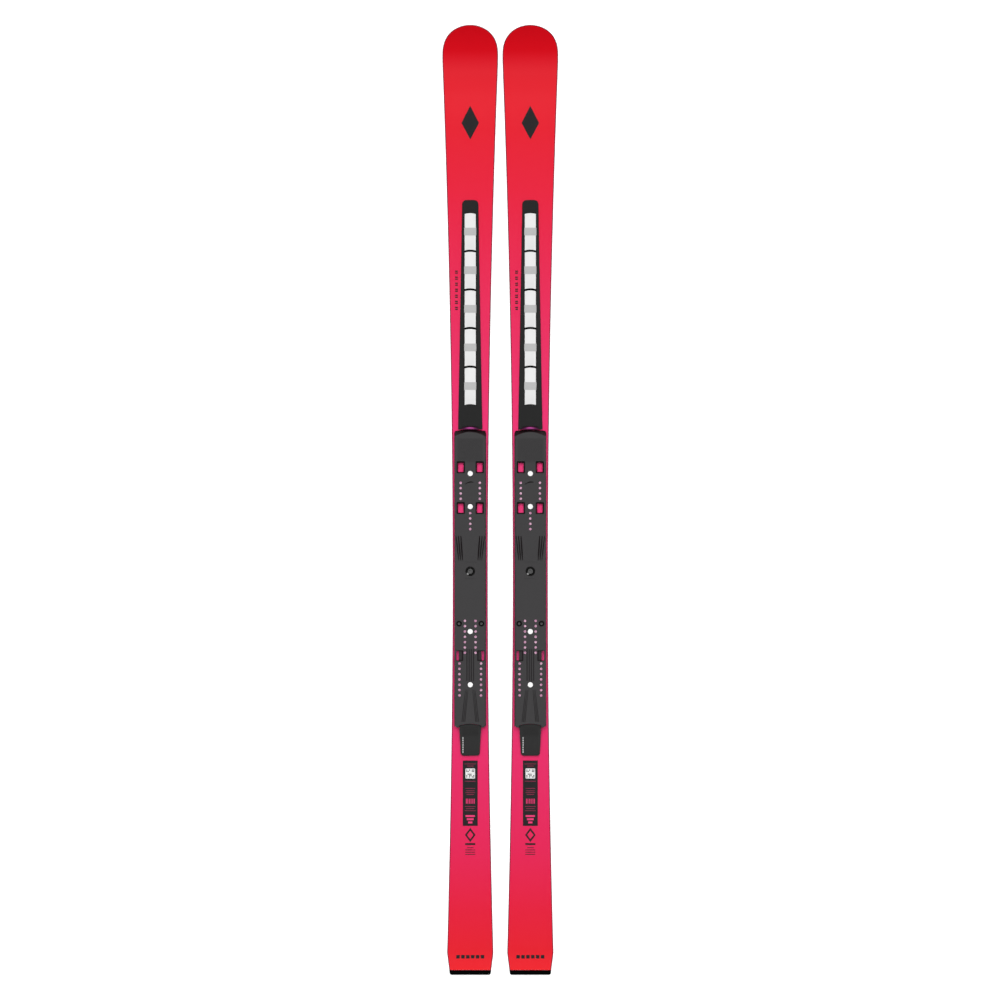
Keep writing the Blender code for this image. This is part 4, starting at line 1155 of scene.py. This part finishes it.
def printed_marks(side):
    """Plain shapes where the ski carries its graphics."""
    bm = bmesh.new()
    black, pink, white, rose = range(4)
    # lozenge on the shovel
    add_mark(bm, [(0, 0.741), (-0.0165, 0.7085), (0, 0.6775), (0.0165, 0.7085)], black)
    # column of short double dashes beside the shock insert
    for i in range(7):
        y = 0.4280 - 0.01133 * i
        for dy in (0.0018, -0.0018):
            add_mark(bm, bar(-0.0259, y + dy, 0.0052, 0.0024), black)
    # label behind the plate
    add_mark(bm, bar(0, -0.5515, 0.028, 0.123), black)
    for y, width in ((-0.4965, 0.022), (-0.5005, 0.012), (-0.5290, 0.020), (-0.5425, 0.018),
                     (-0.5470, 0.016), (-0.5505, 0.018), (-0.5540, 0.014), (-0.5765, 0.020),
                     (-0.5805, 0.016), (-0.5845, 0.020)):
        add_mark(bm, bar(0, y, width, 0.0007), rose, 1)
    for x in (-0.0073, -0.0045, -0.0012, 0.0016, 0.0049, 0.0077):
        add_mark(bm, bar(x, -0.5665, 0.0014, 0.0095), pink, 1)
    add_mark(bm, rounded_rect(0, -0.5145, 0.0180, 0.0190, 0.0016), white, 1)
    for row in range(6):
        for column in range(6):
            if (row * row + 3 * column + row * column) % 5 < 3:
                add_mark(bm, bar(-0.0065 + 0.0026 * column, -0.5080 - 0.0026 * row, 0.0019, 0.0019),
                         black, 2)
    for y, width in ((-0.5945, 0.0176), (-0.6005, 0.0128), (-0.6065, 0.0080)):
        add_mark(bm, bar(0, y, width, 0.0036), pink, 1)
    # hollow lozenge, underline and small lines behind the label
    ring = [(0, -0.6165), (0.0100, -0.6300), (0, -0.6435), (-0.0100, -0.6300)]
    core = [(0, -0.6220), (0.0060, -0.6300), (0, -0.6380), (-0.0060, -0.6300)]
    for i in range(4):
        j = (i + 1) % 4
        add_mark(bm, [ring[i], core[i], core[j], ring[j]], black)
    add_mark(bm, bar(0, -0.6472, 0.0190, 0.0036), black)
    for y, width in ((-0.6540, 0.0120), (-0.6582, 0.0185), (-0.6624, 0.0185), (-0.6666, 0.0185)):
        add_mark(bm, bar(0, y, width, 0.0014), black)
    # segmented bar by the tail
    for i in range(6):
        add_mark(bm, bar(-0.0230 + 0.0092 * i, -0.859, 0.0066, 0.0066), black)
    marks = mesh_object("printed_marks", bm)
    dress(marks, [INK, INK_PINK, INK_WHITE, INK_ROSE], side, None)
    # dashes along the tongue
    bm = bmesh.new()
    for i in range(7):
        add_mark(bm, bar(-0.0137, -0.4477 - 0.0044 * i, 0.0018, 0.0030),
                 surface=lambda y, h: tongue_top(y) + h)
    dress(mesh_object("tongue_dashes", bm), [INK_GREY], side, None)


# ---- studio ----

CAMERA_X, CAMERA_Y, CAMERA_SPAN = -0.00055, -0.0003, 1.880


def studio():
    scene = bpy.context.scene
    scene.view_settings.view_transform = "Standard"
    bm = bmesh.new()
    bm.faces.new([bm.verts.new((x, y, -0.0002)) for x, y in ((-9, -9), (9, -9), (9, 9), (-9, 9))])
    floor = mesh_object("studio_floor", bm)
    coat(floor, [pale_floor()])
    world = bpy.data.worlds.new("studio")
    scene.world = world
    world.use_nodes = True
    backdrop = world.node_tree.nodes["Background"]
    backdrop.inputs[0].default_value = (1, 1, 1, 1)
    backdrop.inputs[1].default_value = 0.18
    add_sun("overhead", 2.55, 40, Vector((0, 0.17, 1))).visible_glossy = False
    add_sun("key", 0.35, 25, Vector((0, 1, 1)))
    softbox = bpy.data.lights.new("softbox", "AREA")
    softbox.shape = "RECTANGLE"
    softbox.size, softbox.size_y = 2.4, 2.6
    softbox.energy = 0.34 * math.pi * softbox.size * softbox.size_y
    above = bpy.data.objects.new("softbox", softbox)
    above.location = (0, 0.15, 2.6)
    scene.collection.objects.link(above)
    camera = bpy.data.objects.new("camera", bpy.data.cameras.new("camera"))
    scene.collection.objects.link(camera)
    camera.location = (CAMERA_X, CAMERA_Y, 3.0)
    camera.data.type = "ORTHO"
    camera.data.ortho_scale = CAMERA_SPAN
    camera.data.clip_end = 50
    scene.camera = camera


def add_sun(name, strength, spread, towards):
    light = bpy.data.lights.new(name, "SUN")
    light.energy = strength
    light.angle = math.radians(spread)
    obj = bpy.data.objects.new(name, light)
    obj.rotation_mode = "QUATERNION"
    obj.rotation_quaternion = towards.to_track_quat("Z", "Y")
    bpy.context.scene.collection.objects.link(obj)
    return obj


for ski_side in SIDES:
    laminate(ski_side)
    shock_insert(ski_side)
    race_plate(ski_side)
    printed_marks(ski_side)
studio()

bpy.context.view_layer.update()
